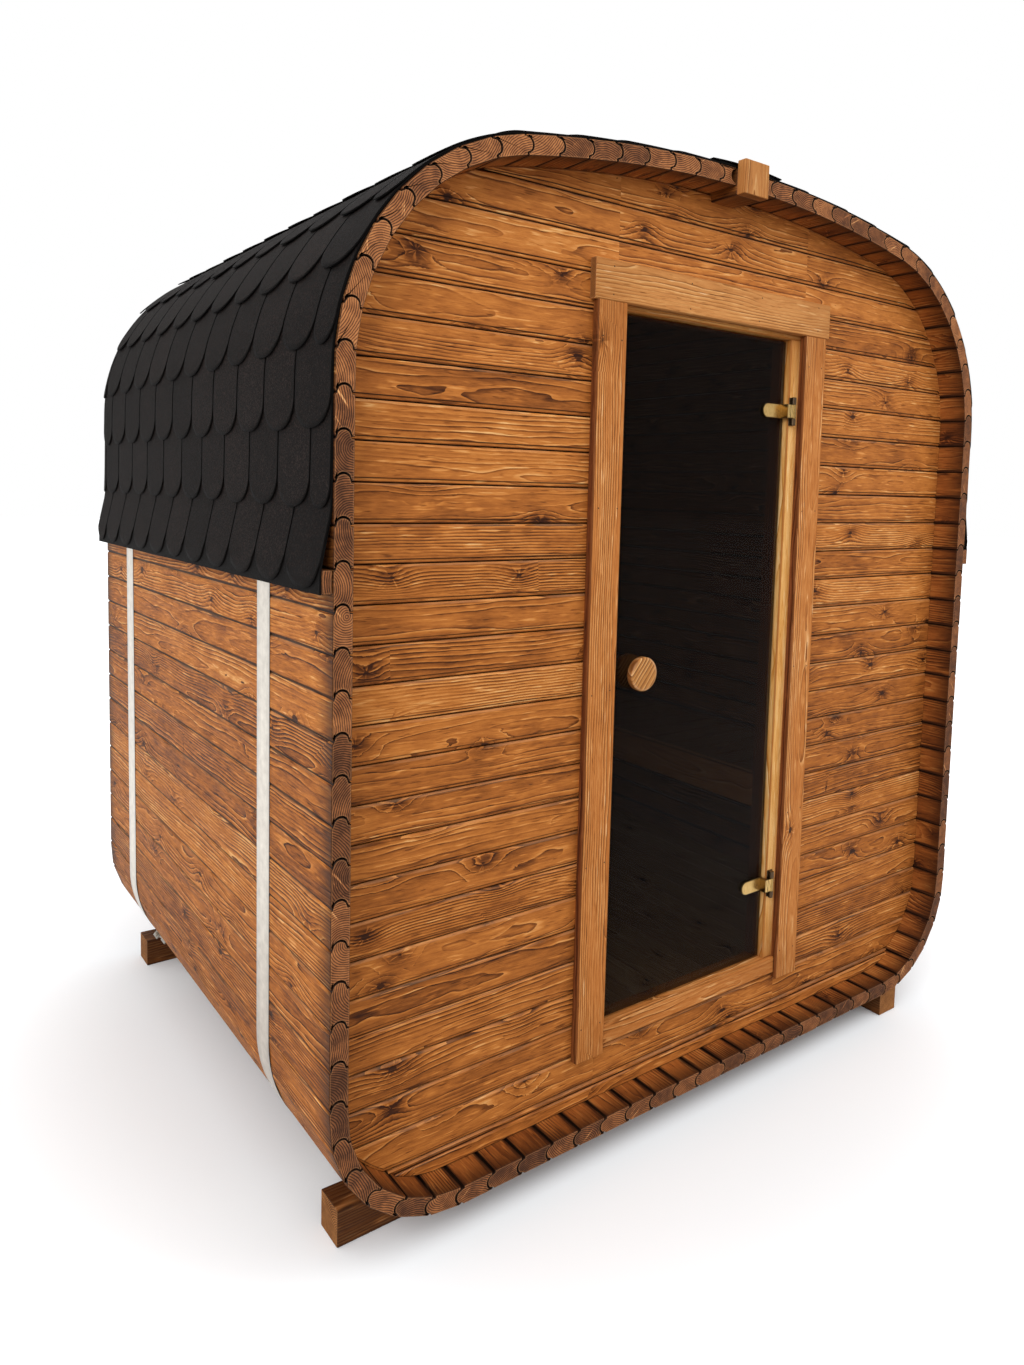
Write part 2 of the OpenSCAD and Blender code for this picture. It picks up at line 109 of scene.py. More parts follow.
class Finish:
    # a material and the nodes that go into it
    def __init__(self, name):
        self.material = bpy.data.materials.new(name)
        self.material.use_nodes = True
        self.tree = self.material.node_tree
        self.tree.nodes.clear()

    def add(self, kind, settings=None, inputs=None, out=0):
        node = self.tree.nodes.new("ShaderNode" + kind)
        for key, value in (settings or {}).items():
            if key == "stops":
                self.fillRamp(node.color_ramp, value)
            else:
                setattr(node, key, value)
        for key, value in (inputs or {}).items():
            plug(self.tree, node.inputs[key], value)
        return Shade(self.tree, node.outputs[out])

    def fillRamp(self, ramp, stops):
        while len(ramp.elements) < len(stops):
            ramp.elements.new(0.5)
        for element, (place, colour) in zip(ramp.elements, stops.items()):
            element.position = place
            element.color = (*paint(colour), 1)

    def also(self, shade, out):
        # another output of the node that made this value
        return Shade(self.tree, shade.socket.node.outputs[out])

    def split(self, vector):
        first = self.add("SeparateXYZ", inputs={0: vector})
        return first, self.also(first, 1), self.also(first, 2)

    def marks(self):
        # a point's place in the trunk, the mark on its edge (wear and painted shade above 0, a painted
        # highlight below 0) and the tone of its board
        grain, board = (self.add("Attribute", {"attribute_name": name}, out="Vector")
                        for name in ("grain", "board"))
        tone, edge = self.split(board)[:2]
        return grain, edge, tone

    def scaled(self, vector, factors):
        return self.add("VectorMath", {"operation": "MULTIPLY"}, {0: vector, 1: factors})

    def noise(self, vector, factors, detail=2.0, roughness=0.5):
        return self.add("TexNoise", inputs={"Vector": self.scaled(vector, factors), "Scale": 1.0,
                                            "Detail": detail, "Roughness": roughness})

    def noiseColour(self, vector, factors):
        # three noises at once, each about 0.5 in the middle
        return self.also(self.noise(vector, factors, detail=1), "Color")

    def soft(self, value, low, high):
        # 0 at low, 1 at high, smooth between
        return self.add("MapRange", {"interpolation_type": "SMOOTHSTEP"},
                        {0: value, 1: low, 2: high, 3: 0.0, 4: 1.0})

    def ramp(self, value, stops):
        return self.add("ValToRGB", {"stops": stops}, {0: value})

    def length(self, vector):
        return self.add("VectorMath", {"operation": "LENGTH"}, {0: vector}, out="Value")

    def mix(self, factor, first, second):
        return self.add("Mix", {"data_type": "RGBA"}, {0: factor, 6: first, 7: second}, out=2)

    def bump(self, height, strength, distance):
        return self.add("Bump", inputs={"Height": height, "Strength": strength, "Distance": distance},
                        out="Normal")

    def surface(self, **inputs):
        shader = self.add("BsdfPrincipled", inputs={key.replace("_", " "): inputs[key] for key in inputs})
        end = self.tree.nodes.new("ShaderNodeOutputMaterial")
        plug(self.tree, end.inputs[0], shader)
        return self.material


knot = dict(
    squash=0.6,             # knots are longer along the board than across it
    ragged=0.009,           # unevenness of their outlines
    smallest=0.002,         # least radius
    growth=0.0065,          # how much wider the largest one is
    pullFade=900,           # how fast the bent rings straighten away from a knot
    smudgeFade=2600)        # how fast its dark smudge ends


def knotField(mat, grain, look):
    # knots lie in long cells; returns their pull on the rings, dark heart, smudge and pale rays
    cellLong, cellWide = look["knotCell"]
    placed = mat.scaled(grain, (1 / cellLong, 1 / cellWide, 0))
    spots = mat.add("TexVoronoi", {"feature": "F1"}, {"Vector": placed, "Scale": 1.0, "Randomness": 0.8},
                    out="Position")
    apart = mat.add("VectorMath", {"operation": "SUBTRACT"}, {0: placed, 1: spots})
    apart = mat.scaled(apart, (cellLong * knot["squash"], cellWide, 0))
    reach = mat.length(apart) + (mat.noise(grain, (90, 130, 130)) - 0.5) * knot["ragged"]
    lot, size, depth = mat.split(mat.also(spots, "Color"))
    present = lot < look["knotShare"]
    radius = size * size * knot["growth"] + knot["smallest"]
    pull = (reach * reach * -knot["pullFade"]).maths("EXPONENT") * present
    heart = mat.soft(reach - radius, 0.0012, -0.0012) * present
    smudge = (reach * reach * -knot["smudgeFade"]).maths("EXPONENT") * present
    x, y = mat.split(apart)[:2]
    turn = mat.add("CombineXYZ", inputs={0: y.maths("ARCTAN2", x) * 2.4, 1: reach * 30, 2: depth * 50})
    rays = mat.soft(mat.add("TexNoise", inputs={"Vector": turn, "Scale": 1.0, "Detail": 1.0}), 0.56, 0.66)
    rays = rays * mat.soft(reach, 0.03, 0.01) * mat.soft(reach - radius, -0.001, 0.002) * present
    return pull, heart, smudge, rays


# how often the noises in wood repeat per metre: along the grain, across it and into it
grainNoise = dict(
    curl=(8, 22, 22),       # small bends of the rings
    bend=(6, 22, 22),       # bends of the fibres
    streak=(3.2, 84, 84),
    fine=(16, 165, 165),
    patch=(7, 14, 14),
    fade=(2.6, 24, 24),     # where the rings stand out
    fleck=(14, 150, 150),
    tick=(20, 190, 190),
    rough=(9, 40, 40))      # how unevenly the edges' wear, painted shade and painted highlight run


def ringLines(mat, grain, pull, look):
    # growth rings are circles round the trunk's middle, so boards show arches and ends show arcs
    across, deep = mat.split(grain)[1:]
    middle = (across * across + deep * deep) ** 0.5
    wave = mat.noise(grain, look["wave"]) - 0.5
    curl = mat.noise(grain, grainNoise["curl"]) - 0.5
    trunk = middle + wave * look["waviness"] + curl * 0.0055 + pull * look["knotPull"]
    phase = (trunk / look["ringGap"]).maths("FRACT")
    # a ring cut at a slant shows wide, but its dark line keeps its own width on the face
    spread = look["ringGap"] / (across.maths("ABSOLUTE") / middle + 0.16)
    line = mat.soft((1 - phase) * spread, 0.0034, 0.0006)
    late = line * 0.72 + mat.soft(phase, 0.3, 1.0) * mat.soft(phase * spread, 0.0, 0.0012) * 0.28
    return late, mat.soft(phase * spread, 0.0036, 0.0008)


def woodFinish(name, look):
    mat = Finish(name)
    grain, edge, tone = mat.marks()
    pull, heart, smudge, rays = knotField(mat, grain, look)
    late, early = ringLines(mat, grain, pull, look)
    bend = mat.add("VectorMath", {"operation": "MULTIPLY_ADD"},
                   {0: mat.noiseColour(grain, grainNoise["bend"]), 1: (0, 0.011, 0.011), 2: grain})
    streak = mat.noise(bend, grainNoise["streak"], detail=4, roughness=0.66)
    fine = mat.noise(bend, grainNoise["fine"], detail=4, roughness=0.78)
    patch = mat.noise(grain, grainNoise["patch"], detail=3, roughness=0.6)
    fade = mat.soft(mat.noise(grain, grainNoise["fade"], detail=1), 0.34, 0.6)
    fleck = mat.soft(mat.noise(bend, grainNoise["fleck"], detail=1), 0.6, 0.74)
    tick = mat.soft(mat.noise(bend, grainNoise["tick"], detail=1), 0.64, 0.76)
    level = (tone - 0.5) * look["toneSpread"] + look["level"]
    level = level + (streak - 0.5) * look["streaks"] + (patch - 0.5) * look["patches"]
    level = level - late * (fade * 0.75 + 0.25) * look["rings"] + (fine - 0.5) * look["fine"]
    level = level + early * (fade * 0.8 + 0.2) * look["rings"] * 0.7
    level = level + fleck * look["flecks"] - tick * look["ticks"]
    level = level - smudge * (streak * 0.5 + 0.05) * look["smudges"] + rays * 0.34
    colour = mat.ramp(level, look["shades"])
    colour = mat.mix(heart * 0.85, colour, look["knotDark"])
    rough = mat.noise(grain, grainNoise["rough"])
    # edges above 0 darken with wear and with painted shade where they face down or away from the light; edges
    # below 0 get a painted highlight
    wearAndShading = mat.soft(edge, 0.1, 1.0) * mat.soft(rough, 0.05, 0.45) * look["edgeDark"]
    paintedHighlight = mat.soft(edge, -0.1, -1.0) * mat.soft(rough, 0.3, 0.62) * look["edgePale"]
    colour = mat.mix(wearAndShading, colour, look["edgeColour"])
    colour = mat.mix(paintedHighlight, colour, look["paleColour"])
    height = late * 0.6 + streak * 0.7 + fine * 0.9 - heart * 0.4 - tick * 0.8
    return mat.surface(Base_Color=colour, Roughness=look["roughness"] + (streak - 0.5) * 0.3,
                       Specular_IOR_Level=look["shine"],
                       Normal=mat.bump(height, look["relief"], 0.0016))


def endFinish(name, look):
    mat = Finish(name)
    grain, edge, tone = mat.marks()
    across, deep = mat.split(grain)[1:]
    wave = mat.noise(grain, (1, 40, 40))
    trunk = (across * across + deep * deep) ** 0.5 + (wave - 0.5) * 0.006
    phase = (trunk / look["ringGap"]).maths("FRACT")
    late = mat.soft(phase, 0.3, 0.8) * mat.soft(phase, 1.0, 0.88)
    blotch = mat.noise(grain, (1, 38, 38), detail=3, roughness=0.6)
    # saw marks run aslant over the end
    saw = mat.add("CombineXYZ", inputs={0: (across + deep * 1.4) * 95, 1: (deep - across) * 7, 2: tone * 50})
    cut = mat.soft(mat.add("TexNoise", inputs={"Vector": saw, "Scale": 1.0, "Detail": 1.0}), 0.68, 0.8)
    pores = mat.noise(grain, (1, 900, 900), detail=1)
    level = (tone - 0.5) * look["toneSpread"] + 0.5 + (blotch - 0.5) * look["blotches"]
    level = level - late * look["rings"] + cut * look["cuts"] + (pores - 0.5) * 0.25
    colour = mat.ramp(level, look["shades"])
    # a painted highlight along the bevelled rim of the end
    colour = mat.mix(edge * look["rimShare"], colour, look["rimColour"])
    height = late * 0.4 + pores * 0.6 + blotch * 0.5
    return mat.surface(Base_Color=colour, Roughness=0.78, Specular_IOR_Level=0.2,
                       Normal=mat.bump(height, 0.4, 0.0012))


stainedLook = dict(shades={0.0: "#3a1b0a", 0.22: "#74401a", 0.44: "#a8632b", 0.62: "#c47a38",
    0.8: "#d89350", 1.0: "#ecb877"}, knotCell=(0.3, 0.085), knotShare=0.35, knotPull=0.014,
    knotDark="#2b1409", smudges=1.2, wave=(1.9, 7, 7), waviness=0.026, ringGap=0.0068, rings=0.32,
    toneSpread=0.28, streaks=0.32, fine=0.6, patches=0.6, flecks=0.26, ticks=0.2, level=0.465,
    edgeDark=0.95, edgeColour="#2a1409", edgePale=0.24, paleColour="#b88f6d", roughness=0.6, shine=0.12,
    relief=0.6)
staveLook = dict(stainedLook, rings=0.42, streaks=0.36, fine=1.05, level=0.5, patches=0.48, smudges=0.8)
# a darker copy of the stain for the shell's inner faces outside the end walls: painted shade under the
# overhang
stainedDarkLook = dict(stainedLook, shades={0.0: "#421f0d", 0.28: "#7b421b", 0.5: "#a05b27", 0.72: "#b87337",
    1.0: "#d09455"})
jointLook = dict(stainedLook, shades={0.0: "#0c0604", 0.5: "#22130a", 1.0: "#4a2c18"}, edgeDark=0.0)
footLook = dict(stainedLook, shades={0.0: "#5c2f14", 0.28: "#9a5826", 0.5: "#c0763a", 0.72: "#d59053",
    1.0: "#e6ae78"}, toneSpread=0.15)
trimLook = dict(stainedLook, shades={0.0: "#613412", 0.25: "#955724", 0.48: "#bb7236", 0.68: "#cc8749",
    0.85: "#dc9f62", 1.0: "#edc08c"}, toneSpread=0.08, streaks=0.34, fine=0.7, patches=0.34, rings=0.36,
    ringGap=0.0062, waviness=0.034, knotShare=0.16, edgeDark=0.35, edgeColour="#8a5222", ticks=0.2,
    flecks=0.24, level=0.55)
# a darker copy of the casing wood for the casings' sides and the frame's stops: painted shade
trimSideLook = dict(trimLook, shades={0.0: "#2c130a", 0.35: "#552a14", 0.6: "#6d3a1c", 1.0: "#8a5230"})
headLook = dict(trimLook, waviness=0.022, fine=0.6, shades={0.0: "#693c18", 0.25: "#9f6632",
    0.48: "#c28247", 0.68: "#d29658", 0.85: "#e1ad72", 1.0: "#f0cb9b"})
# the pine's darker orange edges are painted shade on the jambs' rounded edges
pineLook = dict(trimLook, shades={0.0: "#9c5a20", 0.3: "#cf893d", 0.52: "#e5a85d", 0.72: "#f0be79",
    1.0: "#f9dba6"}, edgeDark=0.8, edgeColour="#a05c22", streaks=0.7, rings=0.4, level=0.55)
benchLook = dict(trimLook, shades={0.0: "#8c4c22", 0.3: "#bb723a", 0.52: "#cc874c", 0.72: "#d99b61",
    1.0: "#e9b886"}, toneSpread=0.16, edgeDark=0.7, edgeColour="#4f2c14")
insideLook = dict(trimLook, shades={0.0: "#6e4724", 0.3: "#9c7145", 0.52: "#b0875a", 0.72: "#c19b6d",
    1.0: "#d6b88c"}, toneSpread=0.22, knotShare=0.34, edgeDark=0.4, edgeColour="#8b6034")
# a darker copy of the inside wood for the inner faces of the shell and the end walls: painted shade of the
# dim cabin
innerWallLook = dict(insideLook, shades={0.0: "#3a1f10", 0.3: "#63391f", 0.52: "#7d4c2c", 0.72: "#93603c",
    1.0: "#b58660"}, edgeDark=0.9, edgeColour="#1f1008")
knobLook = dict(trimLook, shades={0.0: "#7d4b20", 0.3: "#a86d36", 0.52: "#bf8449", 0.72: "#d09a60",
    1.0: "#e6bb86"}, ringGap=0.0088, rings=0.8, fine=0.5, level=0.44, knotShare=0.0, waviness=0.01,
    edgeDark=0.6, edgeColour="#6b3d1e", edgePale=0.6, paleColour="#e2b488")
stainedEndLook = dict(shades={0.0: "#331b0e", 0.3: "#643e27", 0.52: "#985f38", 0.75: "#bd7d4b",
    1.0: "#e6af74"}, ringGap=0.0046, toneSpread=0.36, blotches=0.7, rings=0.46, cuts=0.55, rimShare=0.4,
    rimColour="#b98356")
trimEndLook = dict(stainedEndLook, shades={0.0: "#6b4220", 0.4: "#94602f", 1.0: "#c28b50"}, cuts=0.1)
footEndLook = dict(stainedEndLook, shades={0.0: "#5a3418", 0.4: "#9a6434", 0.7: "#b57c46", 1.0: "#d09c64"},
    cuts=0.2)

finishes = dict(
    stained=woodFinish("stainedWood", stainedLook),
    stave=woodFinish("staveWood", staveLook),
    stainedDark=woodFinish("stainedWoodShade", stainedDarkLook),
    stainedJoint=woodFinish("stainedWoodJoint", jointLook),
    stainedEnd=endFinish("stainedEndGrain", stainedEndLook),
    foot=woodFinish("footWood", footLook),
    footEnd=endFinish("footEndGrain", footEndLook),
    trim=woodFinish("casingWood", trimLook),
    trimSide=woodFinish("casingSide", trimSideLook),
    head=woodFinish("casingHeadWood", headLook),
    trimEnd=endFinish("casingEndGrain", trimEndLook),
    pine=woodFinish("framePine", pineLook),
    inside=woodFinish("insideWood", insideLook),
    innerWall=woodFinish("innerWallWood", innerWallLook),
    bench=woodFinish("benchWood", benchLook),
    insideEnd=endFinish("insideEndGrain", dict(trimEndLook, cuts=0.0)),
    knob=woodFinish("knobWood", knobLook))
print("wood finishes made")


def glassFinish():
    mat = Finish("tintedGlass")
    grain = mat.marks()[0]
    haze = mat.noise(grain, (3, 3, 3), detail=4, roughness=0.6)
    colour = mat.mix(haze, "#100a08", "#16100d")
    return mat.surface(Base_Color=colour, Roughness=mat.soft(haze, 0.35, 0.75) * 0.05 + 0.03,
                       Specular_IOR_Level=0.03, Alpha=0.5 + (haze - 0.5) * 0.05)


def metalFinish(name, look):
    mat = Finish(name)
    grain, edge = mat.marks()[:2]
    brush = mat.noise(grain, look["brush"], detail=3, roughness=0.7)
    stain = mat.noise(grain, (38, 38, 38), detail=4, roughness=0.6)
    colour = mat.ramp(stain * 0.5 + brush * 0.5, look["shades"])
    # rims and bevels take the edge colour: a painted dark line of shade on the brass and the steel, a lighter
    # rim on the bronze
    colour = mat.mix(edge * look["edgeShare"], colour, look["edgeColour"])
    return mat.surface(Base_Color=colour, Metallic=look["metallic"],
                       Roughness=look["roughness"] + (brush - 0.5) * 0.22 + (stain - 0.5) * 0.1,
                       Normal=mat.bump(brush, look["relief"], 0.0004))


def shingleFinish(name, shades, relief):
    mat = Finish(name)
    grain, edge, tone = mat.marks()
    grit = mat.noise(grain, (620, 620, 620), detail=1)
    grains = mat.add("TexVoronoi", {"feature": "F1"},
                     {"Vector": mat.scaled(grain, (430, 430, 430)), "Scale": 1.0}, out="Color")
    patch = mat.noise(grain, (14, 14, 14), detail=3, roughness=0.6)
    speck, other = mat.split(grains)[:2]
    level = speck * 0.62 + grit * 0.25 + (patch - 0.5) * 0.16 + (tone - 0.5) * 0.1 + 0.06 - edge * 0.2
    colour = mat.ramp(level, shades)
    height = other * 0.6 + grit * 0.7 + patch * 0.4
    return mat.surface(Base_Color=colour, Roughness=0.7 + (speck - 0.5) * 0.2, Specular_IOR_Level=0.045,
                       Normal=mat.bump(height, relief, 0.0012))


brassLook = dict(shades={0.25: "#8a6a35", 0.5: "#b8975c", 0.8: "#d6bc88"}, brush=(60, 900, 60),
    edgeShare=0.75, edgeColour="#4d3415", metallic=1.0, roughness=0.3, relief=0.1)
bronzeLook = dict(shades={0.25: "#1f1712", 0.5: "#33281f", 0.8: "#54422f"}, brush=(60, 700, 60),
    edgeShare=0.5, edgeColour="#7a6040", metallic=0.85, roughness=0.34, relief=0.1)
steelLook = dict(shades={0.3: "#aca398", 0.5: "#cac2b6", 0.7: "#e1dace"}, brush=(2.2, 600, 200),
    edgeShare=0.9, edgeColour="#2f2a26", metallic=0.85, roughness=0.34, relief=0.08)
finishes.update(
    glass=glassFinish(),
    brass=metalFinish("hingeBrass", brassLook),
    bronze=metalFinish("darkBronze", bronzeLook),
    steel=metalFinish("bandSteel", steelLook),
    shingle=shingleFinish("shingleGranules",
                          {0.0: "#030202", 0.35: "#090706", 0.6: "#130e0c", 1.0: "#3f3532"}, 0.55),
    shingleEdge=shingleFinish("shingleEdges", {0.0: "#060505", 0.6: "#0e0c0b", 1.0: "#1f1b19"}, 0.5))
print("other finishes made")


class Timber:
    # gathers boards into one mesh; every point also keeps its place in the trunk it was cut from
    def __init__(self, seed):
        self.rand = Random(seed)
        self.points, self.faces, self.slots, self.grain, self.board = [], [], [], [], []

    def start(self, origin, along, across, tone=None):
        rand = self.rand
        self.origin, self.along, self.across = Vector(origin), Vector(along), Vector(across)
        self.deep = self.along.cross(self.across)
        heart = rand.choice((-1, 1)) * rand.uniform(0.012, 0.1)
        self.shift = Vector((rand.uniform(0, 80), rand.uniform(-0.055, 0.055), heart))
        self.tone = rand.random() if tone is None else tone
        self.lot = rand.random()

    def point(self, place, edge=0.0, grain=None):
        # grain is given where the board's own axes don't fit, as on a bent sheet
        place = Vector(place)
        if grain is None:
            apart = place - self.origin
            grain = (apart.dot(self.along), apart.dot(self.across), apart.dot(self.deep))
        self.points.append(place)
        self.grain.append(Vector(grain) + self.shift)
        self.board.append((self.tone, edge, self.lot))
        return len(self.points) - 1

    def skin(self, rows, slot=0, endSlot=None):
        # closed loops of points joined into a solid; slot is a number, or a function of the row and the side
        slotAt = slot if callable(slot) else lambda i, j: slot
        count = len(rows[0])
        for i, (a, b) in enumerate(zip(rows, rows[1:])):
            for j in range(count):
                k = (j + 1) % count
                self.faces.append((a[j], a[k], b[k], b[j]))
                self.slots.append(slotAt(i, j))
        self.faces += [tuple(reversed(rows[0])), tuple(rows[-1])]
        self.slots += [slot if endSlot is None else endSlot] * 2

    def loft(self, rings, edges, slotAt):
        # a board from rings of places; its first and last stretches are end grain
        rows = [[self.point(p, e) for p, e in zip(ring, edge)] for ring, edge in zip(rings, edges)]
        last = len(rows) - 2
        self.skin(rows, lambda i, j: 1 if i in (0, last) else slotAt(i, j), 1)

    def piece(self, name, materials, slotName, nodes=(), body="cabin"):
        mesh = bpy.data.meshes.new(name)
        mesh.from_pydata(self.points, [], self.faces)
        for key, values in (("grain", self.grain), ("board", self.board)):
            layer = mesh.attributes.new(key, "FLOAT_VECTOR", "POINT")
            layer.data.foreach_set("vector", [number for value in values for number in value])
        for key in materials:
            mesh.materials.append(finishes[key])
        mesh.polygons.foreach_set("material_index", self.slots)
        shape = bmesh.new()
        shape.from_mesh(mesh)
        bmesh.ops.recalc_face_normals(shape, faces=shape.faces)
        shape.to_mesh(mesh)
        shape.free()
        piece = bpy.data.objects.new(name, mesh)
        bpy.context.scene.collection.objects.link(piece)
        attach(piece, body)
        if nodes:
            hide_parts(*nodes)
        return piece


boardCut = dict(
    bevel=0.0013,           # bevel at a board's ends
    rim=0.0026,             # rim inside that bevel, painted lighter on end grain as a highlight
    wear=0.0028,            # width of the darker band beside a long edge: wear, and on the pine jambs painted shade
    step=0.25)              # longest stretch between two rings


def inset(outline, amount):
    # a closed flat outline moved inwards, point by point
    count = len(outline)
    area = sum(outline[i - 1][0] * outline[i][1] - outline[i][0] * outline[i - 1][1] for i in range(count))
    turn = 1 if area > 0 else -1
    moved = []
    for i in range(count):
        (ax, az), (bx, bz), (cx, cz) = outline[i - 1], outline[i], outline[(i + 1) % count]
        first = Vector((bx - ax, bz - az)).normalized()
        second = Vector((cx - bx, cz - bz)).normalized()
        normal = Vector((-(first.y + second.y), first.x + second.x)) * turn
        length = normal.length
        if length < 1e-9:
            moved.append((bx, bz))
            continue
        normal /= length
        lean = max(0.45, abs(normal.dot(Vector((-first.y, first.x)))))
        moved.append((bx + normal.x * amount / lean, bz + normal.y * amount / lean))
    return moved


def endRings(outline, ends, between):
    # the outlines and places of a board's rings from end to end, with small bevels at both ends
    bevel, rim = boardCut["bevel"], boardCut["rim"]
    low, high = ends
    places = [low, low, low + bevel, *between, high - bevel, high, high]
    shapes = [inset(outline, bevel + rim), inset(outline, bevel)] + [outline] * (len(between) + 2)
    shapes += [inset(outline, bevel), inset(outline, bevel + rim)]
    return places, shapes


def endEdges(edges, count):
    # edge marks for those rings: none in the middle of an end, most round the rim, where end grain gets a
    # painted highlight and side grain wear with painted shade
    none, most, some = [0.0] * len(edges), [1.0] * len(edges), [max(edge, 0.8) for edge in edges]
    return [none, most, some] + [edges] * (count - 6) + [some, most, none]


def plankOutline(low, high, bevel):
    # a bevelled rectangle; two more points on each side keep the darker band along an edge narrow
    (a0, b0), (a1, b1) = low, high
    wearA, wearB = (min(bevel + boardCut["wear"], across * 0.3) for across in (a1 - a0, b1 - b0))
    outline = [(a0 + bevel, b0), (a0 + wearA, b0), (a1 - wearA, b0), (a1 - bevel, b0),
               (a1, b0 + bevel), (a1, b0 + wearB), (a1, b1 - wearB), (a1, b1 - bevel),
               (a1 - bevel, b1), (a1 - wearA, b1), (a0 + wearA, b1), (a0 + bevel, b1),
               (a0, b1 - bevel), (a0, b1 - wearB), (a0, b0 + wearB), (a0, b0 + bevel)]
    return outline, [1.0, 0.0, 0.0, 1.0] * 4


def plank(timber, low, high, axis, slots=(0, 0, 0, 0), top=None, bevel=0.002):
    # a bevelled board along one axis; slots are for its sides in the order low b, high a, high b, low a
    a, b = [(1, 2), (0, 2), (0, 1)][axis]
    low, high = Vector(low), Vector(high)
    outline, edges = plankOutline((low[a], low[b]), (high[a], high[b]), bevel)
    steps = max(1, int((high[axis] - low[axis]) / boardCut["step"]))
    between = [low[axis] + (high[axis] - low[axis]) * i / steps for i in range(1, steps)]
    along, across = Vector((0, 0, 0)), Vector((0, 0, 0))
    along[axis] = 1
    across[a if high[a] - low[a] >= high[b] - low[b] else b] = 1
    timber.start((low + high) / 2, along, across)
    places, shapes = endRings(outline, (low[axis], high[axis]), between)

    def place(at, spot):
        point = Vector((0, 0, 0))
        point[axis], point[a], point[b] = at, *spot
        if top:
            point.z = min(point.z, top(point.x))
        return point
    rings = [[place(at, spot) for spot in shape] for at, shape in zip(places, shapes)]
    timber.loft(rings, endEdges(edges, len(rings)), lambda i, j: slots[j // 4])


shell = dict(
    topRadius=0.525,        # outer radius of the upper corners
    archRadius=3.5,         # outer radius of the shallow roof
    pitch=0.0825,           # cover of one stave
    starter=0.0405,         # half the width of the first stave, in the middle of the underside
    bead=0.0165,            # how far the half-round edge stands out
    lip=0.003,              # bevel along the outer edges
    gap=0.0014,             # half the gap in a joint
    groove=0.006,           # depth of the groove on the inner side
    grooveBottom=0.0042,    # half the width of that groove in the floor's staves
    grooveSide=0.0016,      # and in the others
    wear=0.003,             # width beside the bevel over which an edge's wear, painted shade and painted highlight fade out
    beadSteps=9,
    endJitter=0.0015,       # how unevenly the staves are cut to length
    edgeJitter=0.35,        # how uneven the bevel is along its length
    behindFace=0.02,        # how far behind the face of an end wall the bare wood starts
    rings=12)               # stretches between the end walls

sideLow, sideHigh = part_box("shell_side_right")
bottomLow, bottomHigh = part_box("shell_bottom")
beamLow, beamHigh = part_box("ridge_beam")
stave = sideHigh.x - sideLow.x
halfWidth, flatX = sideHigh.x, bottomHigh.x
baseZ, lowZ, topZ = bottomLow.z, sideLow.z, sideHigh.z
ringFront, ringRear = bottomLow.y, bottomHigh.y
lowRadius = halfWidth - flatX
topX = halfWidth - shell["topRadius"]
archZ = topZ - sqrt((shell["archRadius"] - shell["topRadius"]) ** 2 - topX ** 2)
cornerTurn = acos(topX / (shell["archRadius"] - shell["topRadius"]))
ridgeTurn = acos(beamHigh.x / shell["archRadius"])
wallFront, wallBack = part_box("front_wall_left")[0].y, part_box("front_wall_left")[1].y

# length, centre, radius and first angle of each stretch; the flats have no radius
stretches = [
    (flatX, (0, baseZ), 0, (1, 0)),
    (lowRadius * pi / 2, (flatX, lowZ), lowRadius, -pi / 2),
    (topZ - lowZ, (halfWidth, lowZ), 0, (0, 1)),
    (shell["topRadius"] * cornerTurn, (topX, topZ), shell["topRadius"], 0),
    (shell["archRadius"] * (ridgeTurn - cornerTurn), (0, archZ), shell["archRadius"], cornerTurn)]
pathLength = sum(stretch[0] for stretch in stretches)


def onPath(s, side=1):
    # place, outward direction and direction of travel at the distance s, and the radius there
    for length, (cx, cz), radius, start in stretches:
        if s <= length or radius == shell["archRadius"]:
            break
        s -= length
    if radius:
        angle = start + s / radius
        out = Vector((cos(angle), 0, sin(angle)))
        place = Vector((cx, 0, cz)) + out * radius
        way = Vector((-sin(angle), 0, cos(angle)))
    else:
        way = Vector((start[0], 0, start[1]))
        out = Vector((way.z, 0, -way.x))
        place = Vector((cx, 0, cz)) + way * s
    for vector in (place, out, way):
        vector.x *= side
    return place, out, way, radius


def jointPlaces():
    # curved stretches open the joints outwards, so staves cover a little more there
    places = [shell["starter"]]
    while True:
        radius = onPath(places[-1])[3]
        step = shell["pitch"] * (1 + (stave / 3 / radius if radius else 0))
        if places[-1] + step > pathLength - 0.02:
            return places + [pathLength]
        places.append(places[-1] + step)


joints = jointPlaces()


def leg(long, short):
    # the other short side of a right-angled triangle
    return sqrt(max(0, long ** 2 - short ** 2))


# radii of the inner face at the lower corners, the upper corners and the roof
innerLow, innerTop, innerArch = (radius - stave for radius in
                                 (lowRadius, shell["topRadius"], shell["archRadius"]))


def insideHalfWidth(z):
    # half the clear width between the staves at the height z
    if z < lowZ:
        return flatX + leg(innerLow, lowZ - z)
    if z <= topZ:
        return halfWidth - stave
    if z <= archZ + innerArch * sin(cornerTurn):
        return topX + leg(innerTop, z - topZ)
    return leg(innerArch, z - archZ)


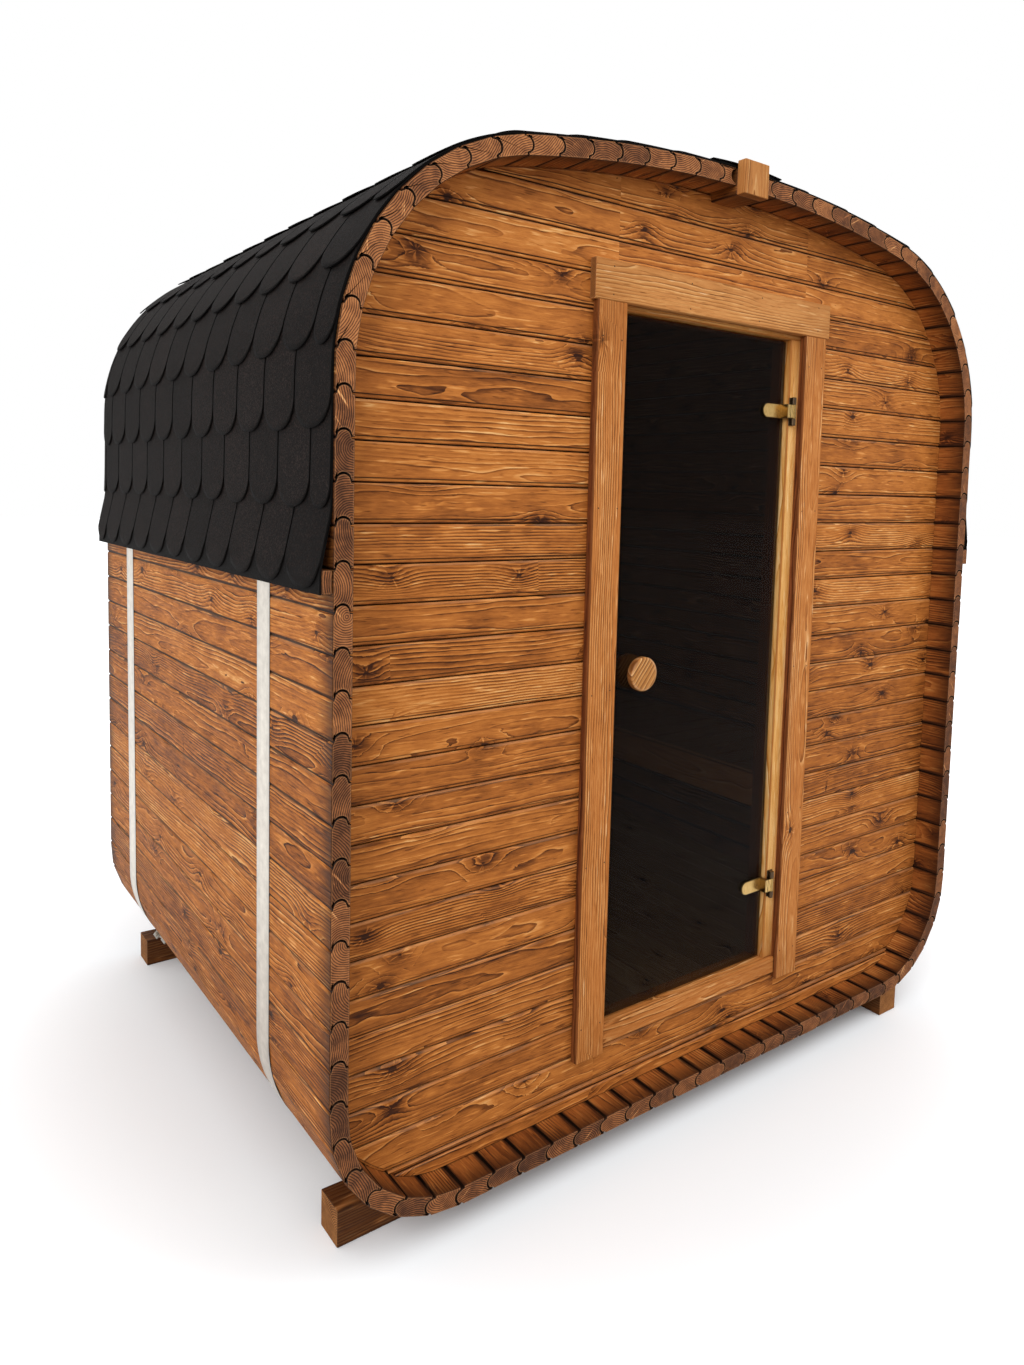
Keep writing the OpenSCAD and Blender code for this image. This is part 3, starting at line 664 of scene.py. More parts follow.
def staveEdge(joint, way, convex, grooveHalf, jitter):
    # one long edge of a stave in section, from the outer face to the inner one
    place, out, travel = joint[:3]
    toward = travel * way
    lip, gap, groove, steps = shell["lip"], shell["gap"], shell["groove"], shell["beadSteps"]
    reach = stave - groove - lip
    sign = 1 if convex else -1

    def spot(aside, depth):
        point = place + toward * aside - out * depth
        return point.x, point.z
    lipWide = lip * (1 + jitter)
    wearAndShading = -1.0 if way == 1 else 1.0       # the upper edge gets a painted highlight, the lower one painted shade along with its wear
    points = [(spot(-gap - lipWide - shell["wear"], 0), 0.0), (spot(-gap - lipWide, 0), wearAndShading),
              (spot(-gap, lip), wearAndShading)]
    for i in range(1, steps):
        t = i / steps
        bulge = shell["bead"] * sqrt(1 - (2 * t - 1) ** 2)
        points.append((spot(sign * bulge - gap, lip + reach * t), 1.0))
    points.append((spot(-gap, stave - groove), 1.0))
    points += [(spot(-grooveHalf, stave - groove + 0.0005), 1.0), (spot(-grooveHalf, stave), 1.0),
               (spot(-grooveHalf - 0.009, stave), 0.0)]
    return points


def addStave(timber, low, high, convexLow, convexHigh, side):
    # low and high are distances on the path; low may lie on the other half
    rand = timber.rand
    place, out, way = onPath(abs(low), side if low >= 0 else -side)[:3]
    first, second = (place, out, way if low >= 0 else -way), onPath(high, side)
    grooveHalf = shell["grooveBottom"] if high < flatX + 0.2 else shell["grooveSide"]
    cut, jitter = shell["endJitter"], shell["edgeJitter"]
    ends = (ringFront + rand.uniform(0, cut), ringRear - rand.uniform(0, cut))
    bare = wallFront + shell["behindFace"]
    between = [bare - 2 * bare * i / shell["rings"] for i in range(shell["rings"] + 1)]
    middle = (first[0] + second[0]) / 2
    # staves above the straight sides are lighter: painted light on the upper part of the shell
    tone = rand.random() * 0.7 + (0.3 if middle.z > topZ else 0)
    timber.start((middle.x, 0, middle.z), (0, 1, 0), (second[0] - first[0]).normalized(), tone)
    rings = []
    for index in range(len(between) + 6):
        loop = staveEdge(second, 1, convexHigh, grooveHalf, rand.uniform(-jitter, jitter))
        loop += reversed(staveEdge(first, -1, convexLow, grooveHalf, rand.uniform(-jitter, jitter)))
        places, shapes = endRings([spot for spot, edge in loop], ends, between)
        rings.append([Vector((x, places[index], z)) for x, z in shapes[index]])
    half = len(loop) // 2

    def slotAt(i, j):
        # the inner face is bare wood between the end walls; outside them it is stained, in a darker copy of
        # the stain that paints the shade under the overhang
        if half - 2 <= j <= half:
            return 2 if 3 <= i < len(rings) - 4 else 3
        return 4 if 1 < j < len(loop) - 3 else 0
    timber.loft(rings, endEdges([edge for spot, edge in loop], len(rings)), slotAt)


staveNodes = ["shell_bottom", "shell_corner_bottom", "shell_side", "shell_corner_top", "shell_roof"]


def stretchOf(s):
    # which stretch of the shell the distance s lies on
    for index, stretch in enumerate(stretches):
        s -= stretch[0]
        if s < 0:
            return index
    return len(stretches) - 1


def buildShell():
    groups = {}

    def group(index, side):
        name = staveNodes[index] + ("" if index == 0 else "_right" if side == 1 else "_left")
        if name not in groups:
            groups[name] = Timber(100 + len(groups))
        return groups[name]
    addStave(group(0, 1), -shell["starter"], shell["starter"], True, True, 1)
    for side in (1, -1):
        for low, high in zip(joints, joints[1:]):
            timber = group(stretchOf((low + high) / 2), side)
            addStave(timber, low, high, False, high < pathLength, side)
    materials = ["stave", "stainedEnd", "innerWall", "stainedDark", "stainedJoint"]
    for name, timber in groups.items():
        timber.piece("staves_" + name.replace("shell_", ""), materials, "stained_wood", [name])
    print("shell:", len(joints) * 2, "staves")


buildShell()


def footTop(x):
    # height of the feet at the distance x from the middle, just under the shell
    return lowZ - leg(lowRadius, max(0, abs(x) - flatX)) - 0.0003


wall = dict(
    firstJoint=0.078,       # height of the lowest joint, hidden by the base strip
    pitch=0.0826,           # cover of one board
    chamfer=0.0036,         # bevel along the joints
    strip=0.008,            # height of the set-back strip along a board's lower edge
    ledge=0.0024,           # how far that strip is set back
    gap=0.0013,             # half the gap in a joint
    overlap=0.0005,         # how far the upper tongue passes the lower one
    tongue=0.004,           # thickness of the tongues
    clear=0.0015,           # clearance between a board's end and the staves
    thinnest=0.004,         # height that is left where the shell cuts a board off
    baseChamfer=0.0018)     # bevel of the base strips


def insideHeights(x):
    # lowest and highest point between the staves at the distance x from the middle
    x = abs(x)
    floor = baseZ + stave if x <= flatX else lowZ - leg(innerLow, x - flatX)
    if x <= innerArch * cos(cornerTurn):
        return floor, archZ + leg(innerArch, x)
    return floor, topZ + leg(innerTop, x - topX)


def boardEnds(z0, z1):
    # places near an end where a board's height follows the curved shell
    levels = [z0 + (z1 - z0) * t for t in (0.04, 0.15, 0.3, 0.5, 0.7, 0.85, 0.96)]
    widths = sorted({round(insideHalfWidth(z) - wall["clear"], 4) for z in levels})
    return widths if widths[-1] - widths[0] > wall["clear"] else widths[-1:]


def boardSection(thick, z0, z1, cut, strip, fill):
    # a wall board in section: depth from its outer face, height, an edge mark (wear and painted shade above
    # 0, a painted highlight below 0), and the slot of the side that follows;
    # fill is how far the tongues reach into the joints below and above
    high = z1 - z0
    cut, strip, soft = min(cut, high * 0.3), min(strip, high * 0.2), min(0.0026, high * 0.1)
    # the upper chamfer gets a painted highlight; the step over the strip and the lower chamfer get painted
    # shade
    section = [(cut, z1, -1, 0), (0, z1 - cut, -1, 0), (0, z1 - cut - soft, 0, 0)]
    if strip:
        ledge = wall["ledge"]
        section += [(0, z0 + strip + soft, 0, 0), (0, z0 + strip + 0.0004, 1, 0), (ledge, z0 + strip, 1, 0),
                    (ledge, z0 + strip * 0.75, 0, 0), (ledge, z0 + strip * 0.35, 0, 0),
                    (ledge * 1.8, z0, 1, 0)]
    else:
        section += [(0, z0 + cut + soft, 0, 0), (0, z0 + cut, 1, 0), (cut, z0, 1, 0)]
    near, far = thick / 2, thick / 2 + wall["tongue"]
    below = [(near, z0), (near, z0 - fill[0]), (far, z0 - fill[0]), (far, z0), (thick - cut / 2, z0)]
    above = [(thick - cut / 2, z1), (far, z1), (far, z1 + fill[1]), (near, z1 + fill[1]), (near, z1)]
    section += [(depth, z, 1, 0) for depth, z in below]
    section += [(thick, z0 + cut / 2, 0.5, 2 if strip else 0), (thick, z1 - cut / 2, 0.5, 0)]
    return section + [(depth, z, 1, 0) for depth, z in above]


def wallBoard(timber, x0, x1, y0, y1, z0, z1, chamfer=wall["chamfer"], strip=wall["strip"]):
    # a board across the cabin whose outer face is at y0; its ends are cut to the inside of the shell
    ends = boardEnds(z0, z1)
    xs = set()
    nearest = max(abs(x0 or 0), abs(x1 or 0)) + 0.01
    for x, side in ((x0, -1), (x1, 1)):
        xs |= {side * end for end in ends if end > nearest} if x is None else {x}
    low, high = min(xs), max(xs)
    inner = [low + (high - low) * i / 8 for i in range(1, 8)]
    xs |= {x for x in inner if all(abs(x - other) > 0.01 for other in xs)}
    xs = sorted(xs)
    tone = timber.rand.random() * 0.6 + 0.4 * min(1, z0 / 1.3)      # the lower boards are a little darker: painted shade towards the bottom
    timber.start(((low + high) / 2, (y0 + y1) / 2, (z0 + z1) / 2), (1, 0, 0), (0, 0, 1), tone)
    xs = [xs[0]] + xs + [xs[-1]]
    way = 1 if y1 > y0 else -1
    rings, edges = [], []
    for index, x in enumerate(xs):
        floor, ceiling = insideHeights(x)
        bottom, top = max(z0, floor), min(z1, ceiling)
        if top - bottom < wall["thinnest"]:
            thin = wall["thinnest"] / 2
            middle = min(max((top + bottom) / 2, z0 + thin), z1 - thin)
            bottom, top = middle - thin, middle + thin
        fill = [wall["gap"] + over if strip and whole else 0.0001
                for whole, over in ((bottom == z0, 0), (top == z1, wall["overlap"]))]
        section = boardSection(abs(y1 - y0), bottom, top, chamfer, strip, fill)
        outline, edge = [(y0 + way * spot[0], spot[1]) for spot in section], [spot[2] for spot in section]
        if index in (0, len(xs) - 1):
            outline, edge = inset(outline, min(chamfer, top - bottom) * 0.2), [0.0] * len(edge)
        rings.append([Vector((x, y, z)) for y, z in outline])
        edges.append(edge)
    timber.loft(rings, edges, lambda i, j: section[j][3])


def wallPiece(name, node, seed, rows, y0, y1):
    timber = Timber(seed)
    for x0, x1, z0, z1 in rows:
        wallBoard(timber, x0, x1, y0, y1, z0, z1)
    timber.piece(name, ["stained", "stainedEnd", "innerWall"], "stained_wood", [node])


def wallRows(low, high, x0, x1):
    rows = []
    z = wall["firstJoint"]
    while z < high - 0.003:
        bottom, top = max(low, z), min(high, z + wall["pitch"])
        if top - bottom > 0.006:
            rows.append((x0, x1, bottom + wall["gap"], top - wall["gap"]))
        z += wall["pitch"]
    return rows


def buildWalls():
    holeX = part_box("front_wall_right")[0].x
    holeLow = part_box("front_wall_bottom")[1].z
    topLow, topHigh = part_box("front_wall_top")
    holeTop, crown, floor = topLow.z, topHigh.z, baseZ + stave
    parts = [("left", floor, crown, None, -holeX), ("right", floor, crown, holeX, None),
             ("top", holeTop, crown, -holeX, holeX), ("bottom", floor, holeLow, -holeX, holeX)]
    for seed, (name, low, high, x0, x1) in enumerate(parts):
        # beside the door, boards end where the shell closes in on the opening
        rows = [row for row in wallRows(low, high, x0, x1)
                if None not in (x0, x1) or insideHalfWidth((row[2] + row[3]) / 2) > holeX + 0.01]
        wallPiece("boards_front_" + name, "front_wall_" + name, 200 + seed, rows, wallFront, wallBack)
    wallPiece("boards_rear", "rear_wall", 210, wallRows(floor, crown, None, None), -wallFront, -wallBack)
    timber = Timber(220)
    stripLow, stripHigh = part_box("base_strips")
    for y0, y1 in ((stripLow.y, wallFront), (stripHigh.y, -wallFront)):
        wallBoard(timber, None, None, y0, y1, stripLow.z, stripHigh.z, wall["baseChamfer"], 0)
    timber.piece("strips_base", ["stained", "stainedEnd"], "stained_wood", ["base_strips"])
    print("end walls done")


buildWalls()


def turned(maker, base, way, profile, slot=0, count=32):
    # a part turned on a lathe: profile gives distance along the axis, radius and wear
    base, way = Vector(base), Vector(way).normalized()
    aside = way.orthogonal().normalized()
    other = way.cross(aside)
    turns = [2 * pi * i / count for i in range(count)]
    spokes = [aside * cos(turn) + other * sin(turn) for turn in turns]
    rows = [[maker.point(base + way * along + spoke * max(radius, 0.00005), wearAndShading) for spoke in spokes]
            for along, radius, wearAndShading in profile]
    maker.skin(rows, slot)


def rod(length, radius, bevel, endShare, endWear, wear=0):
    # the profile of a round bar with bevelled ends; endShare is what is left of the radius there
    return [(0, radius * endShare, endWear), (bevel, radius, wear), (length - bevel, radius, wear),
            (length, radius * endShare, endWear)]


# finishes of a board's sides, its ends and its shaded sides, and the slot name its piece is given, which is
# not used
woods = dict(
    stained=(["stained", "stainedEnd"], "stained_wood"),
    sill=(["trim", "stainedEnd"], "stained_wood"),
    pine=(["pine", "trimEnd", "trimSide"], "frame_pine"),
    ridge=(["head", "trimEnd"], "trim_wood"),
    foot=(["foot", "footEnd"], "foot_wood"),
    inside=(["inside", "insideEnd"], "inside_wood"),
    bench=(["bench", "insideEnd"], "inside_wood"))


def timberPiece(name, node, seed, wood, boards, bevel=0.002):
    # a node made of plain boards: each is low corner, high corner, axis, and where needed slots and a top
    timber = Timber(seed)
    for board in boards:
        plank(timber, *board, bevel=bevel)
    timber.piece(name, *woods[wood], [node])


def endPair(box, across, thick, along):
    # the two boards at both ends of a box
    low, high = Vector(box[0]), Vector(box[1])
    nearHigh, farLow = high.copy(), low.copy()
    nearHigh[across] = low[across] + thick
    farLow[across] = high[across] - thick
    return [(low, nearHigh, along), (farLow, high, along)]


def boardRow(box, across, count, gap, along, margin=0):
    # equal boards side by side that fill a box, apart from a margin at both ends
    boards = []
    start = box[0][across] + margin
    step = (box[1][across] - margin - start + gap) / count
    for i in range(count):
        low, high = Vector(box[0]), Vector(box[1])
        low[across] = start + step * i
        high[across] = start + step * (i + 1) - gap
        boards.append((low, high, along))
    return boards


doorFrame = dict(
    stopDepth=0.026,        # how far the stop lies behind the frame's front
    stopWidth=0.01,
    bevel=0.0028,
    noseIn=0.0155,          # how far the sill's nose ends inside its rear part
    sillBevel=0.0025,
    nailRadius=0.0019,
    nailInset=0.016,        # from the edge of the casing
    nailSunk=0.0004,        # how far the casing lies behind the nail heads
    nailStray=0.004)        # how unevenly the nails stand


def buildCasing(name, axis, slots, nailRows):
    # a casing board with pairs of small nail heads, flush with the front of its box
    low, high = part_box("casing_" + name)
    radius, margin, stray = doorFrame["nailRadius"], doorFrame["nailInset"], doorFrame["nailStray"]
    timber = Timber(240 + len(name))
    rand = timber.rand
    plank(timber, (low.x, low.y + doorFrame["nailSunk"], low.z), high, axis, slots, bevel=doorFrame["bevel"])
    other = 2 - axis
    nail = [(0, radius, 0), (0.0026, radius, 0), (0.003, radius * 0.7, 0)]
    for row in nailRows:
        for aside in (low[other] + margin, high[other] - margin):
            centre = Vector((0, low.y + 0.003, 0))
            centre[axis] = low[axis] + (high[axis] - low[axis]) * row + rand.uniform(-stray, stray)
            centre[other] = aside + rand.uniform(-0.003, 0.003)
            turned(timber, centre, (0, -1, 0), nail, 3, 10)
    wood = "head" if axis == 0 else "trim"
    timber.piece("trim_" + name, [wood, "trimEnd", "trimSide", "bronze"], "trim_wood", ["casing_" + name])


def buildFrame():
    deep, wide, bevel = doorFrame["stopDepth"], doorFrame["stopWidth"], doorFrame["bevel"]
    shaded = (2, 2, 2, 2)
    for side, name in ((1, "right"), (-1, "left")):
        low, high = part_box("frame_jamb_" + name)
        edge = low.x + wide if side == 1 else high.x - wide
        post, stop = ((edge, high.x), (low.x, edge)) if side == 1 else ((low.x, edge), (edge, high.x))
        timberPiece("jamb_" + name, "frame_jamb_" + name, 230 + side, "pine",
                    [((post[0], low.y, low.z), (post[1], high.y, high.z), 2),
                     ((stop[0], low.y + deep, low.z), (stop[1], high.y, high.z), 2, shaded)], bevel)
    low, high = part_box("frame_head")
    stopLow = (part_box("frame_jamb_left")[1].x, low.y + deep, low.z)
    stopHigh = (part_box("frame_jamb_right")[0].x, high.y, low.z + wide)
    timberPiece("head_frame", "frame_head", 233, "pine",
                [((low.x, low.y, low.z + wide), high, 0), (stopLow, stopHigh, 0, shaded)], bevel)
    low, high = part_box("door_sill")
    noseIn = doorFrame["noseIn"]
    timberPiece("sill_door", "door_sill", 234, "sill",
                [((low.x + noseIn, low.y, low.z), (high.x - noseIn, wallFront, high.z), 0),
                 ((low.x, wallFront, low.z), high, 0)], doorFrame["sillBevel"])
    for name in ("left", "right"):
        buildCasing(name, 2, (0, 0, 0, 2), [0.045, 0.27, 0.5, 0.74, 0.955])
    buildCasing("head", 0, (0, 0, 0, 0), [0.06, 0.36, 0.66, 0.94])
    print("door frame and casing done")


buildFrame()


def buildRidge():
    timberPiece("beam_ridge", "ridge_beam", 250, "stained",
                [(beamLow, (beamHigh.x, beamHigh.y, beamHigh.z - 0.0005), 1)])
    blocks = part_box("ridge_end_blocks")
    timberPiece("blocks_ridge", "ridge_end_blocks", 251, "ridge",
                endPair(blocks, 1, ringFront - blocks[0].y, 2), 0.0025)


def buildFeet():
    # the feet fit under the round shell; those on the left lie across the cabin
    for name in ("front_left", "rear_left", "front_right", "rear_right"):
        low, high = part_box("foot_" + name)
        timberPiece("block_" + name, "foot_" + name, 260 + len(name), "foot",
                    [(low, high, 0 if "left" in name else 1, (0, 0, 0, 0), footTop)], 0.0025)
    print("ridge and feet done")


buildRidge()
buildFeet()


inside = dict(
    floorBoards=21,
    floorGap=0.002,
    floorMargin=0.005,      # clearance beside the outer boards
    joist=0.045,            # width of a joist
    slats=15,
    slatGap=0.012,
    battenGap=0.0014)       # between a starter batten and the staves


def buildInside():
    timberPiece("boards_floor", "floor_boards", 270, "inside",
                boardRow(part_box("floor_boards"), 0, inside["floorBoards"], inside["floorGap"], 1,
                         inside["floorMargin"]))
    low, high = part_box("floor_joists")
    wide = inside["joist"]
    timberPiece("joists_floor", "floor_joists", 271, "inside",
                [((low.x, y, low.z), (high.x, y + wide, high.z), 0)
                 for y in (low.y, -wide / 2, high.y - wide)])
    rails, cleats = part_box("bench_rails"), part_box("bench_end_cleats")
    thick = cleats[0].x - rails[0].x
    timberPiece("rails_bench", "bench_rails", 272, "bench", endPair(rails, 0, thick, 1))
    timberPiece("cleats_bench", "bench_end_cleats", 273, "bench", endPair(cleats, 1, thick, 0))
    timberPiece("slats_bench", "bench_slats", 274, "bench",
                boardRow(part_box("bench_slats"), 1, inside["slats"], inside["slatGap"], 0))
    timberPiece("board_bench", "bench_front_board", 275, "bench", [(*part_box("bench_front_board"), 1)])
    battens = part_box("starter_battens")
    thick = battens[1].x - halfWidth - inside["battenGap"]
    timberPiece("battens_starter", "starter_battens", 276, "stained", endPair(battens, 0, thick, 1)[::-1])
    print("floor, bench and battens done")


buildInside()


roof = dict(
    exposure=0.1525,        # visible length of a shingle
    length=0.325,           # its whole length
    pitch=0.1628,           # width of a tab with its slot
    slot=0.0052,
    thick=0.0026,
    rise=0.0079,            # how far the lower edge of a tab stands off the roof
    round=0.062,            # height of the rounded end
    firstOdd=0.095,         # width of the first tab on every second course
    firstEven=0.172,
    start=0.0075,           # how far the first course stands above the starter's edge
    lean=0.11,              # height over which the cover leans back to the shell
    curl=0.002,             # how far the tabs' ends lift
    bendCurl=0.0045,        # and how far where the shell turns inwards
    bendTop=1.2,            # distance along the cover up to which it does
    curlReach=0.1,          # how far from its end a tab curls
    stray=0.0015,           # how unevenly the tabs are laid
    skew=0.002,             # and how far they are turned
    wornEnd=0.012,          # width of the wear along a tab's end
    wornSide=0.006,         # and along its sides
    columns=14,
    rows=12,
    starterThick=0.0042,    # thickness of the starter strip
    feltThick=0.0016,       # and of the felt above it
    sheetSteps=90)


coverStep = 0.004           # distance between the places on the cover's line


def coverPath():
    # the surface under the shingles in section, from the starter's lower edge to the ridge
    low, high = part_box("starter_battens")
    line = []

    def straight(ax, az, bx, bz):
        steps = max(1, int(sqrt((bx - ax) ** 2 + (bz - az) ** 2) / coverStep))
        line.extend((ax + (bx - ax) * i / steps, az + (bz - az) * i / steps) for i in range(steps))

    def bend(cx, cz, radius, start, end):
        steps = int(radius * abs(end - start) / coverStep)
        for i in range(steps):
            angle = start + (end - start) * i / steps
            line.append((cx + radius * cos(angle), cz + radius * sin(angle)))
    leanTop = high.z + roof["lean"]
    straight(high.x, low.z, high.x, high.z)
    straight(high.x, high.z, halfWidth, leanTop)
    straight(halfWidth, leanTop, halfWidth, topZ)
    bend(topX, topZ, shell["topRadius"], 0, cornerTurn)
    bend(0, archZ, shell["archRadius"], cornerTurn, ridgeTurn)
    straight(beamHigh.x, beamHigh.z, 0.0, beamHigh.z + 0.0001)
    line.append((0.0, beamHigh.z + 0.0001))
    return line


coverLine = coverPath()
coverLength = coverStep * (len(coverLine) - 1)


def onCover(u, off, side):
    # the place at the distance u above the lower edge and off the surface
    at = min(max(u / coverStep, 0), len(coverLine) - 1.001)
    i = int(at)
    t = at - i
    (ax, az), (bx, bz) = coverLine[i], coverLine[i + 1]
    (px, pz), (qx, qz) = coverLine[max(0, i - 6)], coverLine[min(len(coverLine) - 1, i + 7)]
    length = sqrt((qx - px) ** 2 + (qz - pz) ** 2)
    outX, outZ = (qz - pz) / length, -(qx - px) / length
    if u < 0:
        az += u
        bz += u
    return Vector((side * (ax + (bx - ax) * t + outX * off), 0, az + (bz - az) * t + outZ * off))


def tabHeight(v, half, reach):
    # how far the rounded end of a tab reaches below its straight sides, at v from its middle
    t = min(1.0, abs(v) / half)
    return reach * (1 - (1 - t ** 2.3) ** 0.5)


def addTab(maker, u0, y0, y1, side, curl):
    rand = maker.rand
    half, middle = (y1 - y0) / 2, (y0 + y1) / 2
    low = u0 + rand.uniform(-roof["stray"], roof["stray"])
    turn = rand.uniform(-roof["skew"], roof["skew"])
    lift = curl * rand.uniform(0.5, 1.0)
    fall = roof["rise"] / (roof["length"] + roof["curlReach"])
    columns, rows = roof["columns"], roof["rows"]
    full = min(roof["length"], coverLength - low)
    maker.start((0, middle, u0), (0, 0, 1), (0, 1, 0))
    grid = {}
    for layer in (0, 1):
        for c in range(columns + 1):
            v = -half * cos(pi * c / columns)
            edge = tabHeight(v, half, min(roof["round"], half))
            for r in range(rows + 1):
                d = edge + (full - edge) * (r / rows) ** 1.35
                off = roof["rise"] - fall * d - layer * roof["thick"]
                off += lift * max(0, 1 - d / roof["curlReach"]) ** 2
                place = onCover(low + d + turn * v / half, max(off, 0.0003), side)
                place.y = middle + v
                wearAndShading = max(0, 1 - (d - edge) / roof["wornEnd"], 1 - (half - abs(v)) / roof["wornSide"])
                grid[layer, c, r] = maker.point(place, wearAndShading, (d, v, layer * 0.01))

    def quad(slot, *corners):
        maker.faces.append([grid[corner] for corner in corners])
        maker.slots.append(slot)
    for c in range(columns):
        for r in range(rows):
            quad(0, (0, c, r), (0, c + 1, r), (0, c + 1, r + 1), (0, c, r + 1))
            quad(0, (1, c, r), (1, c, r + 1), (1, c + 1, r + 1), (1, c + 1, r))
        for r in (0, rows):
            quad(1, (0, c, r), (1, c, r), (1, c + 1, r), (0, c + 1, r))
    for r in range(rows):
        for c in (0, columns):
            quad(1, (0, c, r), (0, c, r + 1), (1, c, r + 1), (1, c, r))


def addSheet(maker, y0, y1, side):
    # the starter strip and the felt under the shingles
    maker.start((0, 0, 0), (0, 0, 1), (0, 1, 0))
    rows = []
    for i in range(roof["sheetSteps"] + 1):
        u = coverLength * i / roof["sheetSteps"]
        thick = roof["starterThick"] if u < 0.1 else roof["feltThick"]
        row = []
        for y, off in ((y0, 0.0002), (y0, thick), (y1, thick), (y1, 0.0002)):
            place = onCover(u, off, side)
            row.append(maker.point((place.x, y, place.z), 0.3, (u, y, off)))
        rows.append(row)
    maker.skin(rows, 1)


def buildCover():
    for side, name in ((1, "right"), (-1, "left")):
        maker = Timber(300 + side)
        rand = maker.rand
        boxLow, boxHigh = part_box("shingles_" + name)
        course = 0
        u = roof["start"]
        while u < coverLength - 0.02:
            turnsIn = abs(onCover(u, 0, 1).x - halfWidth) > 0.03 and u < roof["bendTop"]
            curl = 0.0 if course == 0 else roof["bendCurl"] if turnsIn else roof["curl"]
            y0 = boxLow.y + rand.uniform(0, 0.002)
            y1 = boxLow.y + roof["firstOdd" if course % 2 else "firstEven"] - roof["slot"]
            while y0 < boxHigh.y - 0.004:
                addTab(maker, u, y0, min(y1, boxHigh.y - rand.uniform(0, 0.002)), side, curl)
                y0, y1 = y1 + roof["slot"], y1 + roof["pitch"]
            u += roof["exposure"]
            course += 1
        addSheet(maker, boxLow.y + 0.002, boxHigh.y - 0.002, side)
        piece = maker.piece("shingles_cover_" + name, ["shingle", "shingleEdge"], "shingle",
                            ["shingles_" + name])
        for polygon in piece.data.polygons:
            polygon.use_smooth = polygon.material_index == 0
    print("shingles done")


cap = dict(
    half=0.125,             # width to each side of the ridge
    length=0.3,
    exposure=0.14,
    thick=0.0026,
    lift=0.0085,            # how far a cap's front end stands off the ridge
    rise=0.0052,            # how much higher its rear end lies on the next one
    droop=0.0032,           # how far the sides bend down
    rows=6,
    columns=16)


def buildCap():
    # bent cap shingles along the ridge, the last one nearest the door
    maker = Timber(310)
    low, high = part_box("shingles_left")
    columns = cap["columns"]
    y = high.y - cap["length"]
    while y > low.y - cap["exposure"]:
        front = max(y, low.y)
        maker.start((0, front, 0), (0, 1, 0), (1, 0, 0))
        rows = []
        for i in range(cap["rows"] + 1):
            t = i / cap["rows"]
            place = front + cap["length"] * t
            row = []
            for layer in (0, 1):
                for j in range(columns + 1):
                    x = -cap["half"] + 2 * cap["half"] * (columns - j if layer else j) / columns
                    off = cap["lift"] + cap["rise"] * (1 - t) - layer * cap["thick"]
                    off -= cap["droop"] * (abs(x) / cap["half"]) ** 2
                    spot = onCover(coverLength - abs(x), off, 1 if x >= 0 else -1)
                    wearAndShading = max(0, 1 - t * 12) + (j in (0, columns)) * 0.5
                    spot.y = min(place, high.y)
                    row.append(maker.point(spot, wearAndShading, (place, x, layer * 0.01)))
            rows.append(row)
        maker.skin(rows, 0, 1)
        y -= cap["exposure"]
    maker.piece("shingles_ridge", ["shingle", "shingleEdge"], "shingle")
    print("ridge cap done")


buildCover()
buildCap()


bands = dict(
    thick=0.0012,
    steps=150,              # along each half of the shell
    lugGap=0.03,            # between the two bent lugs
    lugThick=0.003,
    lugHigh=0.022,
    lugSunk=0.0006,         # how far the lugs reach into the band
    boltRadius=0.004,
    boltOver=0.009,         # how far the bolt stands out past a lug
    nutRadius=0.0068,
    nutThick=0.006,
    frontIn=0.185,          # how far the front bolt lies inside the flat underside
    rearTurn=45)            # where the rear bolt lies on the lower left corner, in degrees


def bandHalf(side):
    # places and outward directions from the middle of the underside up to the ridge beam
    half = []
    for i in range(bands["steps"] + 1):
        place, out = onPath(pathLength * i / bands["steps"], side)[:2]
        half.append((place + out * bands["thick"], out))
    return half + [(Vector((side * beamHigh.x, 0, beamHigh.z + bands["thick"])), Vector((0, 0, 1)))]


def sweepStrip(maker, path, y0, y1, thick):
    # a flat bar along a path; its edges are rounded a little and get a painted shadow line, whose painted
    # shading fades from the low side towards the middle
    edge, width = 0.0004, y1 - y0
    section = [(0, edge, 1.0), (edge, 0, 1.0), (0.0013, 0, 1.0), (0.0024, 0, 0.22), (width * 0.3, 0, 0.05),
               (width * 0.6, 0, 0.0), (width - 0.0022, 0, 0.2), (width - edge, 0, 0.8), (width, edge, 1.0),
               (width, thick - edge, 1.0), (width - edge, thick, 1.0), (width / 2, thick, 0.0),
               (edge, thick, 1.0), (0, thick - edge, 1.0)]
    rows = []
    travelled = 0
    last = path[0][0]
    for place, out in path:
        travelled += (place - last).length
        last = place
        row = []
        for y, depth, wearAndShading in section:
            spot = place - out * depth
            grain = Vector((travelled, y, depth)) - maker.shift
            row.append(maker.point((spot.x, y0 + y, spot.z), wearAndShading, grain))
        rows.append(row)
    maker.skin(rows)


def addBolt(maker, place, out, way, width):
    # two bent lugs with a bolt and nuts through them
    half, thick, high = bands["lugGap"] / 2, bands["lugThick"], bands["lugHigh"]
    over, nut = bands["boltOver"], bands["nutThick"]
    for side in (-1, 1):
        corner = place + way * side * (half + thick / 2)
        rows = [[maker.point(corner + Vector((0, a * width / 4, 0)) + out * (b * high - bands["lugSunk"])
                             + way * face * thick / 2, 0.5)
                 for a, b in ((-1, 0), (1, 0), (1, 1), (-1, 1))] for face in (-1, 1)]
        maker.skin(rows)
    length = 2 * (half + thick + over)
    start = place + out * high / 2 - way * length / 2
    turned(maker, start, way, rod(length, bands["boltRadius"], 0.001, 0.7, 0.5), 0, 16)
    for along in (over - nut - 0.0002, length - over + 0.0002):
        turned(maker, start + way * along, way, rod(nut, bands["nutRadius"], 0.0008, 0.86, 0.5), 0, 6)


